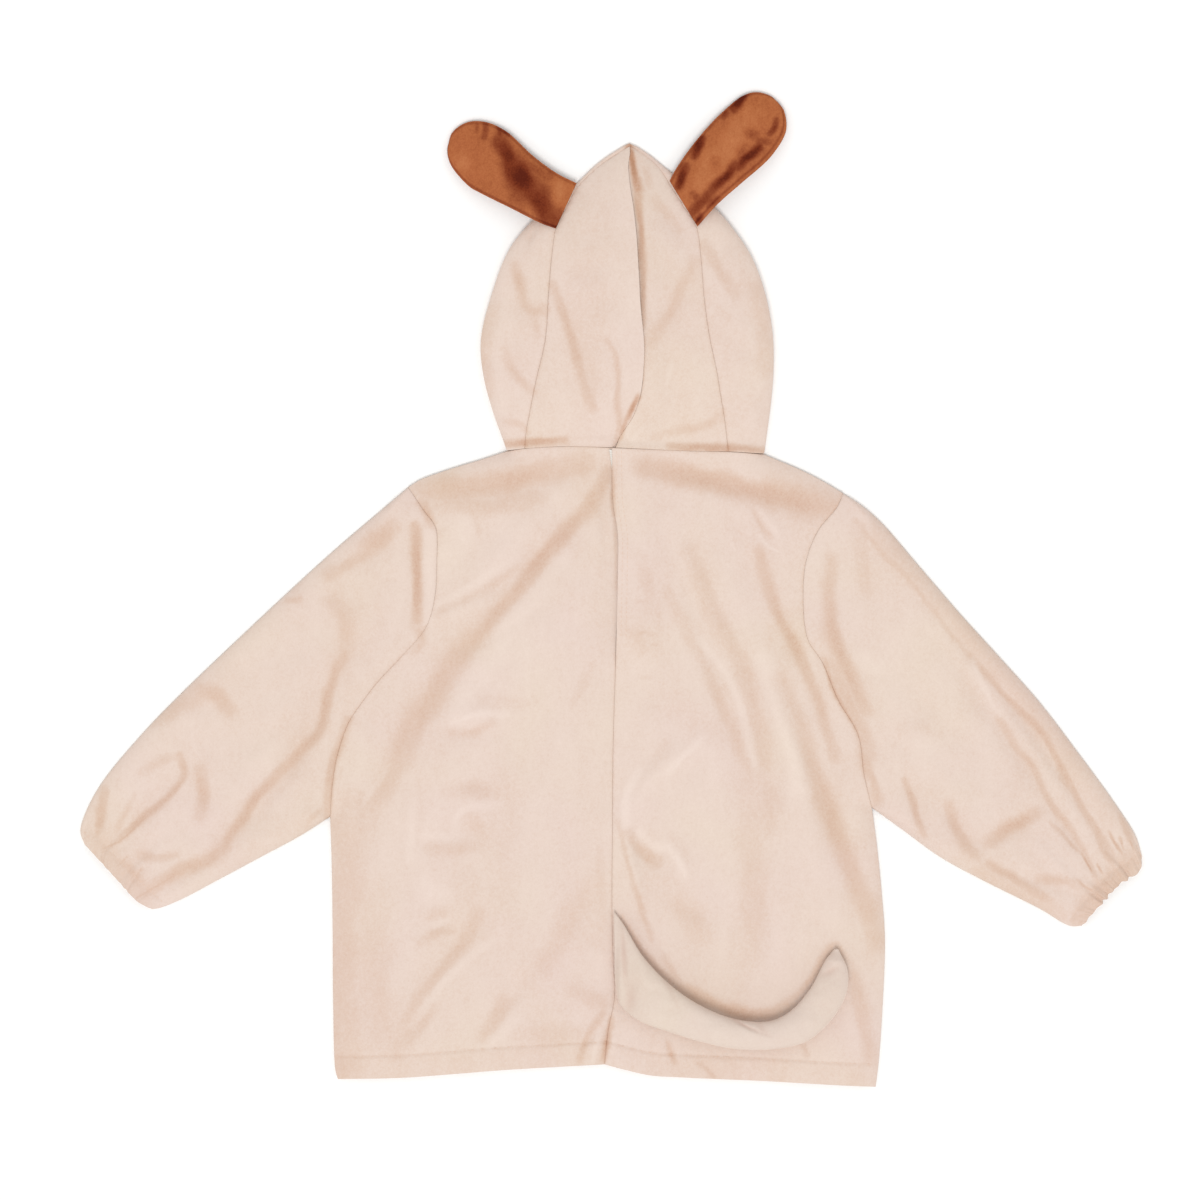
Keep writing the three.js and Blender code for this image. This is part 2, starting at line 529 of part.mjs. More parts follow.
function sleeveGeometry(sideName) {
  const plan = SLEEVES[sideName];
  const seamGap = SEAM * 1.1 * plan.outward;
  const armhole = moved(armholes[sideName], seamGap);
  const cuff = curveThrough(plan.cuff);
  const upper = curveThrough(plan.upper.map(([x, y], i) => [i === 0 ? x + seamGap : x, y]));
  const lower = curveThrough(plan.lower.map(([x, y], i) => [i === 0 ? x + seamGap : x, y]));
  const along = (line, q) => {
    const at = q * (line.length - 1);
    const k = Math.min(Math.floor(at), line.length - 2);
    return new THREE.Vector3().lerpVectors(line[k], line[k + 1], at - k);
  };
  const corner = { a: armhole[0], b: armhole.at(-1), c: cuff.getPointAt(0), d: cuff.getPointAt(1) };

  function planPoint(s, q) {
    const p = new THREE.Vector3();
    p.addScaledVector(along(armhole, q), 1 - s).addScaledVector(cuff.getPointAt(q), s);
    p.addScaledVector(upper.getPointAt(s), 1 - q).addScaledVector(lower.getPointAt(s), q);
    p.addScaledVector(corner.a, -(1 - s) * (1 - q)).addScaledVector(corner.b, -(1 - s) * q);
    p.addScaledVector(corner.c, -s * (1 - q)).addScaledVector(corner.d, -s * q);
    return p;
  }

  function gatherWave(q, s) {
    const { count, reach } = plan.gathers;
    const strength = smooth(s, 1 - reach, 1);
    const uneven = q + 0.012 * Math.sin(19 * q) + 0.007 * Math.sin(41 * q + 1);
    const reachOfEach = 0.75 + 0.25 * Math.sin(23 * q + 2);
    return Math.sin(2 * Math.PI * count * uneven) * strength * reachOfEach;
  }

  function ringPoint(s, t, inset) {
    const isTop = t <= 0.5;
    const share = isTop ? 2 * t : 2 - 2 * t;
    const a = planPoint(s, 0);
    const b = planPoint(s, 1);
    const width = a.distanceTo(b);
    const shrink = inset / width;
    const q = shrink + share * (1 - 2 * shrink);
    const point = planPoint(s, q);
    const fromEdge = Math.min(q, 1 - q) * width - inset;
    const blend = smooth(s, 0, SLEEVE.blend);
    const calm = Math.sin(Math.PI * clamp(share, 0, 1)) ** 0.4;
    if (isTop) {
      const drop = (WALL + SEAM) * smooth(share, 0.42, 0.55) * (1 - smooth(share, 0.9, 1));
      const atSeam = Math.max(bodyHeight(point.x, point.y) - drop, SLEEVE_EDGE_HEIGHT + 1.2);
      const cuffFall = smooth(s, 0.7, 1) * 2.5;
      const casing = SLEEVE.casingDip * Math.exp(-(((s - SLEEVE.casing) / 0.014) ** 2));
      const folded = plan.crown - cuffFall - casing + foldHeight(sleeveFolds, point.x, point.y);
      const onSleeve = Math.max(folded + plan.gathers.height * gatherWave(share, s), UPPER_LAYER_LOW + 0.4);
      const crown = lerp(atSeam, onSleeve, blend);
      const edgeWidth = lerp(SLEEVE.edgeAtSeam, SLEEVE.edge, blend);
      point.z = SLEEVE_EDGE_HEIGHT + (crown - inset - SLEEVE_EDGE_HEIGHT) * roundEdge(fromEdge, edgeWidth - inset);
    } else {
      const rest = SLEEVE_EDGE_HEIGHT - (SLEEVE_EDGE_HEIGHT - inset) * roundEdge(fromEdge, SLEEVE.floorEdge - inset);
      point.z = rest;
    }
    const outward = new THREE.Vector3().subVectors(planPoint(1, share), planPoint(0.9, share)).normalize();
    point.addScaledVector(outward, plan.gathers.shift * gatherWave(share, s) * calm * smooth(s, 0.9, 1));
    return { point, t };
  }

  function shares(count, rounding) {
    return Array.from({ length: count + 1 }, (_, i) => {
      const even = i / count;
      return lerp(even, 0.5 - 0.5 * Math.cos(Math.PI * even), rounding);
    });
  }

  function ring(s, inset) {
    const isSeam = s === 0;
    const isCuff = s > CUFF_FROM;
    const top = isCuff ? shares(SEGMENTS.cuff, 0.25) : shares(SEGMENTS.armhole, isSeam ? 0 : 0.6);
    let underCount = SEGMENTS.sleeveUnder;
    if (isCuff) underCount = SEGMENTS.cuffUnder;
    if (isSeam) underCount = SEGMENTS.armhole;
    const under = shares(underCount, isSeam ? 0 : 0.6).slice(1, -1);
    const ts = [...top.map((q) => q / 2), ...under.map((q) => 0.5 + q / 2)];
    return ts.map((t) => ringPoint(s, t, inset));
  }

  return clothTube(SLEEVE_ROWS.map((s) => ring(s, 0)), SLEEVE_ROWS.map((s) => ring(s, WALL)));
}

// Hood: the centre panels reach from the seam to the middle, and the side panels from the
// seam round the outline and under to the edge of the face opening.
function hoodCurves(rows) {
  const count = SEGMENTS.hoodRows;
  const sample = (curve) => Array.from({ length: count + 1 }, (_, i) => curve.getPoint(i / count));
  return {
    seam: sample(curveThrough(rows.map((r) => [...r.seam, r.height]))),
    outline: sample(curveThrough(rows.map((r) => r.outline))),
    face: sample(curveThrough(rows.map((r) => r.face))),
  };
}
const hood = { left: hoodCurves(HOOD_LEFT), right: hoodCurves(HOOD_RIGHT) };

function hoodCentre(name, sideName) {
  const isRight = sideName === 'right';
  const outward = isRight ? 1 : -1;
  const neckHeight = isRight ? rightHeight : bodyHeight;
  const middle = moved(spaced(HOOD_CENTRE, SEGMENTS.hoodRows), outward * SEAM / 2);
  middle.forEach((p, i) => {
    p.x += outward * PEAK_GAP * (1 - smooth(i, 0, 2));
    p.z -= outward * HOOD_LAP * Math.sin((Math.PI * i) / SEGMENTS.hoodRows);
  });
  const seam = moved(hood[sideName].seam, -outward * SEAM * 1.2);
  const neckRows = isRight ? NECK_RIGHT : NECK_LEFT;
  const neckBetween = neckRows.slice(1, -1).map(([x, y]) => [x, y + SEAM * 1.4]);
  const end = middle.at(-1);
  const seamEnd = seam.at(-1);
  const bottomRows = [[end.x, end.y], ...neckBetween.slice(0, -1), [seamEnd.x, seamEnd.y]];
  const bottom = spaced(bottomRows, SEGMENTS.hoodAcross);
  bottom.forEach((p) => {
    p.z = neckHeight(p.x, p.y);
  });
  end.z = bottom[0].z;
  seamEnd.z = bottom.at(-1).z;
  const top = spaced([middle[0].toArray(), seam[0].toArray()], SEGMENTS.hoodAcross);
  const grid = patch(top, bottom, middle, seam);
  const shaped = grid.map((row, j) => row.map((p, i) => {
    const a = i / SEGMENTS.hoodAcross;
    const b = j / SEGMENTS.hoodRows;
    const calm = 4 * a * (1 - a) * Math.sin(Math.PI * b) ** 0.6;
    return new THREE.Vector3(p.x, p.y, p.z + calm * (HOOD_CROWN + foldHeight(hoodFolds, p.x, p.y)));
  }));
  return named(name, clothWall(shaped, WALL), cream);
}

const HOOD_SECTION = { shoulder: 5, under: 3, floor: 3 };

function hoodSide(name, sideName) {
  const neckHeight = sideName === 'right' ? rightHeight : bodyHeight;
  const { seam, outline, face } = hood[sideName];
  const grid = seam.map((start, j) => {
    const top = start.clone();
    const fromNeck = SEGMENTS.hoodRows - j;
    top.z = fromNeck === 0 ? neckHeight(top.x, top.y) : top.z;
    const edgeHeight = Math.max(2.6, 0.42 * top.z);
    const inward = new THREE.Vector3().subVectors(face[j], outline[j]);
    const turn = Math.min(edgeHeight, inward.length() / 3);
    inward.normalize();
    const row = [];
    for (let k = 0; k <= HOOD_SECTION.shoulder; k += 1) {
      const angle = (Math.PI / 2) * (k / HOOD_SECTION.shoulder);
      const p = new THREE.Vector3().lerpVectors(top, outline[j], Math.sin(angle));
      p.z = lerp(edgeHeight, top.z, Math.cos(angle));
      p.z += foldHeight(hoodFolds, p.x, p.y) * Math.sin(2 * angle);
      row.push(p);
    }
    for (let k = 1; k <= HOOD_SECTION.under; k += 1) {
      const angle = (Math.PI / 2) * (k / HOOD_SECTION.under);
      const p = outline[j].clone().addScaledVector(inward, turn * (1 - Math.cos(angle)));
      p.z = edgeHeight * (1 - Math.sin(angle));
      row.push(p);
    }
    const floorStart = row.at(-1);
    for (let k = 1; k <= HOOD_SECTION.floor; k += 1) {
      row.push(new THREE.Vector3().lerpVectors(floorStart, face[j], k / HOOD_SECTION.floor).setZ(0));
    }
    return row;
  });
  return named(name, clothWall(grid, WALL), cream);
}

// Value between the rows of a table whose first column is a share of the length
function between(table, share, column) {
  const k = clamp(table.findIndex((row) => row[0] >= share), 1, table.length - 1);
  const t = (share - table[k - 1][0]) / (table[k][0] - table[k - 1][0]);
  return lerp(table[k - 1][column], table[k][column], smooth(t, 0, 1));
}

function paddedRing(a, b, across, middleAt, thickness, bulge) {
  const points = [];
  const count = 2 * across;
  for (let k = 0; k < count; k += 1) {
    const angle = (2 * Math.PI * k) / count;
    const q = 0.5 - 0.5 * Math.cos(angle);
    const point = new THREE.Vector3().lerpVectors(a, b, q);
    const rise = Math.sign(Math.sin(angle)) * Math.abs(Math.sin(angle)) ** bulge;
    point.z = middleAt(point, q) + 0.5 * thickness * rise;
    points.push({ point, t: k / count });
  }
  return points;
}

const EAR_SEAT = 0.4;
const EAR_ROWS = [0, 0.06, 0.14, 0.24, 0.35, 0.46, 0.57, 0.68, 0.78, 0.87, 0.94, 0.98, 1];

function ear(name, sideName) {
  const { upper, lower, rootHeights } = EARS[sideName];
  const upperCurve = curveThrough(upper);
  const lowerCurve = curveThrough(lower);
  const rings = EAR_ROWS.map((s) => {
    const a = upperCurve.getPointAt(s);
    const b = lowerCurve.getPointAt(s);
    const thickness = between(EAR_SECTIONS, s, 2);
    const fall = between(EAR_SECTIONS, s, 1);
    const rootMiddle = (q) => lerp(...rootHeights, q) + EAR_SEAT + EAR_SECTIONS[0][2] / 2;
    const middleAt = (p, q) => Math.max(thickness / 2 + EAR_SEAT, fall * rootMiddle(q));
    return paddedRing(a, b, SEGMENTS.earAcross, middleAt, thickness, 0.6);
  });
  return named(name, stuffed(rings), brown);
}

function tail() {
  const upperCurve = curveThrough(TAIL_UPPER);
  const lowerCurve = curveThrough(TAIL_LOWER);
  const clear = 0.7;
  const rings = [];
  for (let k = 0; k <= TAIL_ROWS; k += 1) {
    const s = k / TAIL_ROWS;
    const a = upperCurve.getPointAt(s);
    const b = lowerCurve.getPointAt(s);
    const height = between(TAIL_SECTIONS, s, 1);
    const bed = Math.max(...[0, 0.25, 0.5, 0.75, 1].map((q) => {
      const p = new THREE.Vector3().lerpVectors(a, b, q);
      return rightHeight(p.x, p.y);
    }));
    rings.push(paddedRing(a, b, SEGMENTS.tailAcross, () => bed + clear + height / 2, height, 0.9));
  }
  return named('tail', stuffed(rings), paleCream);
}

function named(name, geometry, finish) {
  const mesh = new THREE.Mesh(geometry, finish);
  mesh.name = name;
  return mesh;
}

const costume = new THREE.Group();
costume.add(
  frontBody(),
  backPanel('back_left', 'left'),
  backPanel('back_right', 'right'),
  closureTape(),
  named('sleeve_left', sleeveGeometry('left'), cream),
  named('sleeve_right', sleeveGeometry('right'), cream),
  hoodCentre('hood_centre_left', 'left'),
  hoodCentre('hood_centre_right', 'right'),
  hoodSide('hood_side_left', 'left'),
  hoodSide('hood_side_right', 'right'),
  ear('ear_left', 'left'),
  ear('ear_right', 'right'),
  tail(),
);

export default costume;
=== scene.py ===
"""Looks of a child's hooded costume top, laid flat with its back up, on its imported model.

Lengths in the tables are millimetres in the model's frame: +X right, +Y to the hood, Z = 0 the floor.
"""
import math

import bpy
import numpy as np
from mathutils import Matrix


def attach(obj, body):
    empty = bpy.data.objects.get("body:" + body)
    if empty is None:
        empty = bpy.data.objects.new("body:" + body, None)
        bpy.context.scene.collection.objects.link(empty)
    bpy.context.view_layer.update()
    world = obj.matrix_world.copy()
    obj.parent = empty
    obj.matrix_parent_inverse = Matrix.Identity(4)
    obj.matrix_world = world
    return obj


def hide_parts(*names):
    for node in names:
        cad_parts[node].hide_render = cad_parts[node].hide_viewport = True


MM = 0.001
WALL = 1.4
SEAM = 0.35
SEAM_SHOWN = 0.04
TAPE_WALL = 0.8
UPPER_LAYER_LOW = 2 * WALL + SEAM
SLEEVE_EDGE_HEIGHT = 1.6
LAP_RAISE = 3.4
TAPE_LIFT = 0.45
FRONT_SET_BACK = 0.5
HEM_DEPTH = 18.0
HEM_STEP = 0.4
RIM_SOFTNESS = 0.08
CASING_DEPTH = 12.0
OUTWARD = {"left": -1, "right": 1}

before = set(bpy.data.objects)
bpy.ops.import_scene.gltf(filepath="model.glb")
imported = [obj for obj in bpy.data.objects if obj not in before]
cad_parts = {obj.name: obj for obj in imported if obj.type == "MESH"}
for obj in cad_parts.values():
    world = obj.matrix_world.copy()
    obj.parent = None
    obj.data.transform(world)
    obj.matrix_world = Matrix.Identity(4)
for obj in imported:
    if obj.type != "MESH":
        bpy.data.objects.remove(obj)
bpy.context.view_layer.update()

# x, y of the seams and edges of the body
NECK_LEFT = [[0, 113.6], [-17.6, 114.4], [-41.6, 114.6], [-69.8, 113], [-84, 111.2]]
NECK_RIGHT = [[0, 113.6], [38.4, 112], [70.4, 110.9], [93.1, 110.4], [121.6, 108.6]]
SHOULDER_LEFT = [[-84, 111.2], [-106, 104], [-122, 99.2], [-138, 94], [-154, 88], [-163, 82.4]]
SHOULDER_RIGHT = [[121.6, 108.6], [134.4, 103.2], [150.4, 96.4], [166.4, 88.4], [184.8, 77.6]]
ARMHOLE_LEFT = [
    [-163, 82.4], [-150, 63], [-141, 50], [-140, 24], [-142, -8], [-149, -30], [-169, -54],
    [-186, -72], [-200, -90], [-211, -107], [-220, -134], [-224, -160], [-225.6, -181.6],
]
ARMHOLE_RIGHT = [
    [184.8, 77.6], [180.4, 67], [165, 48], [155.4, 24], [152.8, -8], [156.8, -40], [168, -57.6],
    [180.8, -88], [196.8, -116], [201.6, -148], [208, -174.4],
]
SIDE_LEFT = [
    [-225.6, -181.6], [-224.4, -216], [-223.6, -270], [-223.2, -328], [-221.4, -384], [-219.4, -391.4],
]
SIDE_RIGHT = [
    [208, -174.4], [212, -204], [216, -244], [218.4, -280], [216.8, -328], [213.6, -376], [211, -397.6],
]
HEM_LEFT = [
    [-6, -379.6], [-49.6, -382], [-89.6, -384.4], [-129.6, -387.6], [-169.6, -390.4], [-219.4, -391.4],
]
HEM_RIGHT = [
    [-6, -379.6], [10.4, -384], [30.4, -388.4], [54.4, -390], [118.4, -392.8], [182.4, -396.4],
    [211, -397.6],
]
CENTRE_BACK = [
    [0, 113.6], [0.8, 72], [4.6, 44], [4.6, 16], [3.2, -48], [1, -120], [0.4, -190], [0, -250],
    [1, -295], [2, -326], [-3, -352], [-6, -379.6],
]
NECK_LAP = {"width": 12, "from": -6, "to": -32, "fade_to": -74, "spread": 34, "drop": 0.06}
NECKLINE = [[-84.2, 111.5], [6, 81.1], [11.2, 81.1], [121.8, 109.1]]
# How far below the origin the opening ends, and the seam below it is fully closed
OPENING_END = 34
SEAM_CLOSED = 60
ARMHOLE_ENDS = [-186, -160]
EDGES = {
    "left": {
        "neck": NECK_LEFT, "shoulder": SHOULDER_LEFT, "armhole": ARMHOLE_LEFT, "side": SIDE_LEFT,
        "hem": HEM_LEFT,
    },
    "right": {
        "neck": NECK_RIGHT, "shoulder": SHOULDER_RIGHT, "armhole": ARMHOLE_RIGHT, "side": SIDE_RIGHT,
        "hem": HEM_RIGHT,
    },
}

SLEEVES = {
    "left": {
        "upper": [
            [-163, 82.4], [-185.6, 63.2], [-217.6, 36], [-249.6, 7.2], [-313.6, -52.8], [-345.6, -83.6],
            [-377.6, -116.8], [-409.6, -156], [-423.2, -182.4], [-425.6, -194], [-422.4, -203.2],
        ],
        "cuff": [[-422.4, -203.2], [-409.6, -216.8], [-393.6, -234.4], [-379.2, -249.6], [-368, -255.6]],
        "lower": [
            [-225.6, -181.6], [-249.6, -196.8], [-281.6, -214], [-313.6, -231.2], [-345.6, -248],
            [-361.6, -254.4], [-368, -255.6],
        ],
        "crown": 9,
        "gathers": {"count": 10, "height": 0.6, "reach": 0.16, "shift": 0.3},
        "casing_dip": 0.5,
    },
    "right": {
        "upper": [
            [184.8, 77.6], [198.4, 68.8], [214.4, 55.2], [246.4, 18.4], [278.4, -18.8], [310.4, -54],
            [342.4, -90], [374.4, -132], [402.4, -170.4], [419.2, -196.8], [424, -212],
        ],
        "cuff": [[424, -212], [422.4, -224], [406.4, -235.2], [390.4, -252], [376, -268.8]],
        "lower": [
            [208, -174.4], [230.4, -190.4], [262.4, -213.6], [294.4, -231.2], [342.4, -255.2],
            [366.4, -268.8], [376, -268.8],
        ],
        "crown": 10,
        "gathers": {"count": 10, "height": 1.3, "reach": 0.11, "shift": 1.2},
        "casing_dip": 1.0,
    },
}

# seam x, y and height, outline x, y, face edge x, y
HOOD_LEFT = [
    [9.6, 352.6, 5, 9, 355.4, 13.6, 328],
    [-9.2, 340, 5, -11, 342, -4.8, 315.2],
    [-27.2, 322.6, 7, -29.4, 324.4, -17.6, 300.8],
    [-36.8, 305.6, 11, -47, 309, -25.6, 283.2],
    [-44.8, 288.8, 14, -64.8, 294.4, -31.2, 262.4],
    [-47.6, 271.2, 17, -82.4, 272, -35.2, 240],
    [-50.4, 240, 19, -95.2, 240, -37.6, 216],
    [-53.2, 200, 19.5, -104.9, 200, -36.8, 188],
    [-60.1, 169.6, 18, -102.8, 171.2, -29.6, 157],
    [-65.7, 142.4, 15, -95.2, 142.4, -15.2, 126],
    [-68.8, 125.6, 11, -89.2, 125.6, -4.8, 102.4],
    [-69.8, 113.5, 8, -84.2, 112, 6, 81.6],
]
HOOD_RIGHT = [
    [19.4, 352.6, 5, 20.4, 354.8, 19.2, 328],
    [29.6, 345.4, 5, 31.6, 347.2, 32, 318.4],
    [38.8, 336, 6, 43.2, 337.6, 41.6, 304],
    [45.6, 325.6, 8, 55, 328.6, 48, 289.6],
    [56.8, 307.4, 12, 72, 314, 54.4, 272],
    [67.2, 290.4, 15, 85.6, 302.4, 57.6, 252.8],
    [71.2, 262.4, 18, 110.4, 268.8, 60, 232],
    [73.2, 236, 19.5, 122.4, 237.6, 61.6, 212],
    [77.6, 203.2, 19.5, 128.6, 204, 60.8, 190.4],
    [83.8, 173.6, 18, 129.1, 173.6, 52.8, 160],
    [87.2, 152.8, 15.5, 127.4, 152, 41.6, 139.2],
    [90, 136, 13, 125.5, 136, 30.4, 120],
    [93.1, 111, 8, 121.8, 109.6, 11.2, 81.6],
]
HOOD_CENTRE = [
    [14.4, 355, 6], [14.6, 345.6, 11], [16.3, 324.8, 17], [19.4, 304, 20], [21.7, 283.2, 22],
    [23, 262.4, 23.5], [24.2, 241.6, 24], [25, 221.2, 24], [25.8, 190.4, 24], [24.2, 164.8, 22.5],
    [22.2, 153.6, 21], [16.7, 138.4, 18], [7, 123.6, 13], [2.8, 114.1, 9],
]
# How high the centre pieces bulge, and how the left one laps over the right one's tucked edge
HOOD_CROWN = 1.6
HOOD_LAP = 1.3
TUCKED_UNDER = 2.4
TUCK_ROOM = [0.3, 0.9]
LAP_SHIFT = 2.2
STEP_DOWN = 2.0
STEP_WIDTH = 8
STEP_RANGE = {"begins": 190, "full": 235, "until": 338, "ends": 350}
# How the hood's pieces end at the peak and at the neck, as shares of their length from the peak
PEAK_GAP = 0.15
PEAK_ROWS = 10
PEAK_FADE = 0.06
NECK_CLOSED = 0.3
NECK_SHARE = 0.95
SIDE_EDGE = {"least": 2.6, "share_of_seam": 0.42}

# Outlines of the ears, the heights of the cloth under their roots, and the stitched line by the edge
EARS = {
    "left": {
        "upper": [
            [-28.3, 325.3], [-44, 333.2], [-62.6, 346.7], [-85.4, 367.5], [-102, 374.7], [-116.6, 374.1],
            [-128, 365.8], [-131.6, 355],
        ],
        "lower": [
            [-45, 288.6], [-56.3, 292.6], [-83.4, 306.2], [-104, 316.6], [-114.4, 322.8], [-128, 338.4],
            [-131.4, 347], [-131.9, 351.5],
        ],
        "root_heights": [7, 14],
        "lower_line": 1.6,
    },
    "right": {
        "upper": [
            [46, 327], [51.6, 337.4], [67.2, 359.2], [86.9, 381], [105.6, 396], [116, 398.4],
            [127, 395.4], [131.6, 391.6],
        ],
        "lower": [
            [68.2, 290.1], [84.8, 308.4], [103.5, 325], [126.4, 345.7], [138.4, 364.4], [139.6, 373.8],
            [137.4, 384], [134.4, 388.4],
        ],
        "root_heights": [8, 15],
        "lower_line": 3.4,
    },
}
# share of the ear's length, share of the root's height, thickness
EAR_SECTIONS = [
    [0, 1, 3], [0.12, 1.06, 5], [0.3, 1, 6.4], [0.5, 0.8, 7], [0.7, 0.52, 7], [0.88, 0.36, 6.4],
    [1, 0.28, 4],
]
EAR_SEAT = 0.4
EAR_UPPER_LINE = 1.6

TAIL_UPPER = [
    [1.6, -256.8], [8.8, -266.4], [24.4, -292], [45.6, -314.4], [71.2, -332], [97.6, -342.4],
    [124.4, -344.4], [141.6, -336.8], [158.4, -318], [170.8, -295.2], [177.6, -287],
]
TAIL_LOWER = [
    [2.4, -311], [6.4, -331], [21.6, -344], [43.2, -352], [71.2, -360.8], [100, -366.4],
    [128.8, -366.4], [154.4, -360.8], [174.4, -344], [186.4, -324], [188.4, -304.8], [181, -287],
]
# share of the tail's length, height
TAIL_SECTIONS = [[0, 7], [0.08, 12], [0.2, 18], [0.4, 21], [0.65, 20], [0.85, 17], [0.95, 13], [1, 7]]
TAIL_SEAT = 0.4
TAIL_WALL_LOW = 0.7
# Short creases across the tail: share of its length, share across it, depth, half width, slant
TAIL_CREASES = [
    [0.56, 0.12, 1.6, 0.016, 0.10],
    [0.62, 0.20, 0.9, 0.012, -0.06],
    [0.92, 0.35, 1.1, 0.014, 0.05],
    [0.30, 0.10, 0.7, 0.02, 0.04],
    [0.07, 0.35, 1.4, 0.02, 0.08],
    [0.12, 0.75, 0.9, 0.02, -0.06],
]
DEEPEST_TAIL_CREASE = 1.6

# name, path of x, y points, height (a valley is below 0), half width
BODY_FOLDS = [
    ["long valley from the neck", [[-4, 90], [-98, -18], [-160, -104]], -2.6, 15],
    ["end of that valley", [[-158, -100], [-180, -146], [-196, -200]], -1.6, 14],
    ["ridge above the valley", [[-44, 72], [-92, 22], [-134, -22]], 2.4, 13],
    ["ridge below the valley", [[-12, 26], [-58, -40], [-146, -160]], 1.8, 20],
    ["left shoulder", [[-156, 76], [-90, 82], [-12, 101]], -2.2, 11],
    ["right shoulder", [[22, 102], [102, 82], [176, 60]], -2.4, 10],
    ["inner arc", [[54, 24], [86, -72], [106, -152]], -1.7, 9],
    ["middle arc", [[62, 40], [114, -72], [134, -200]], -2, 9],
    ["outer arc", [[114, 24], [156, -62], [178, -136]], -1.6, 9],
    ["ridge between the arcs", [[82, 24], [140, -120], [170, -264]], 2.2, 13],
    ["right side valley", [[138, -80], [182, -196], [206, -312]], -2.4, 11],
    ["ridge to the seam", [[70, -124], [36, -146], [8, -192]], 2.4, 9],
    ["pocket under it", [[15, -196], [28, -210], [44, -217]], -2, 9],
    ["ridge beside the tail", [[8, -184], [14, -216], [18, -246]], 1.6, 7],
    ["left light ridge", [[-134, -103], [-110, -101], [-88, -103]], 1.4, 9],
    ["left hollow", [[-142, -200], [-126, -194], [-100, -198]], -1.2, 12],
    ["lower left slant", [[-104, -266], [-142, -300], [-160, -330]], -1.5, 10],
    ["lower middle slant", [[-58, -294], [-88, -334], [-106, -354]], -1.4, 9],
    ["from the tail to the hem", [[-3, -338], [-12, -356], [-19, -376]], 1.4, 6],
]
BODY_CREASES = [
    ["armhole fan, upper", [[-58, 26], [-92, 6], [-134, -14]], -0.8, 4],
    ["armhole fan, middle", [[-66, 8], [-98, -10], [-140, -22]], 0.8, 5],
    ["armhole fan, lower", [[-50, -8], [-100, -40], [-150, -52]], -0.6, 5],
    ["beside the neck opening", [[-4, 96], [-7, 60], [-5, 26]], -1.2, 4],
    ["under the left light ridge", [[-132, -116], [-108, -114], [-84, -117]], -0.9, 7],
    ["second left hollow", [[-130, -158], [-112, -156], [-92, -160]], -0.7, 7],
    ["low left hollow", [[-146, -264], [-134, -268], [-128, -276]], -0.8, 8],
    ["left hem slant", [[-146, -336], [-160, -350], [-170, -362]], -0.7, 6],
    ["seam slant", [[-10, -232], [-26, -262], [-44, -288]], -0.8, 7],
    ["right neck crease, first", [[112, 66], [122, 50], [130, 30]], -0.9, 4],
    ["right neck crease, second", [[120, 64], [132, 46], [138, 24]], 0.7, 4],
    ["right neck crease, third", [[96, 56], [106, 36], [110, 10]], -0.6, 4],
    ["upper right arc", [[46, 56], [66, 10], [84, -36]], 0.8, 6],
    ["ridge by the pocket", [[45, -204], [54, -218], [62, -232]], 1.2, 6],
    ["right low patch", [[54, -250], [68, -258], [80, -264]], -0.9, 9],
    ["line to the tail", [[8, -186], [16, -236], [42, -300]], -0.7, 3],
    ["second line to the tail", [[13, -196], [24, -246], [50, -300]], 0.6, 4],
    ["under the tail, first", [[42, -356], [45, -366], [48, -376]], -0.9, 4],
    ["under the tail, second", [[70, -372], [76, -382], [84, -390]], -0.7, 4],
    ["right hem rise", [[196, -270], [204, -320], [208, -366]], 0.8, 6],
    ["under the left armhole", [[-196, -120], [-206, -160], [-212, -220]], 0.8, 6],
    ["fan below the seam, first", [[-4, -344], [-16, -358], [-28, -368]], -0.8, 3],
    ["fan below the seam, second", [[0, -338], [-4, -356], [-8, -374]], -0.9, 3],
    ["over the tail tip", [[150, -262], [172, -270], [190, -282]], -0.6, 6],
]
SLEEVE_FOLDS = [
    ["left crease from the underarm", [[-213, -44], [-262, -146], [-328, -219]], -3, 10],
    ["left crease to the cuff", [[-320, -214], [-346, -230], [-378, -245]], -2, 8],
    ["left ridge beside the crease", [[-236, -46], [-282, -136], [-340, -196]], 1.8, 15],
    ["left sleeve head", [[-157, 52], [-155, 12], [-157, -28]], -2, 7],
    ["left cuff crease", [[-342, -140], [-374, -176], [-402, -204]], -2, 8],
    ["left upper hollow", [[-214, 12], [-192, 30], [-170, 48]], -1.5, 10],
    ["right long crease", [[246, 0], [324, -98], [400, -208]], -3, 8],
    ["right second crease", [[262, -40], [322, -124], [384, -214]], -2.2, 9],
    ["right ridge between", [[254, -18], [326, -112], [392, -212]], 1.6, 8],
    ["right small crease", [[234, -144], [242, -168], [250, -192]], -2, 8],
    ["right elbow crease", [[262, -168], [280, -192], [300, -212]], -2, 8],
    ["right elbow crescent", [[298, -198], [320, -190], [338, -174]], -2.4, 9],
    ["right lower crease", [[286, -216], [330, -230], [378, -245]], -1.5, 7],
    ["right sleeve head", [[174, 24], [176, -50], [204, -146]], -2, 10],
]
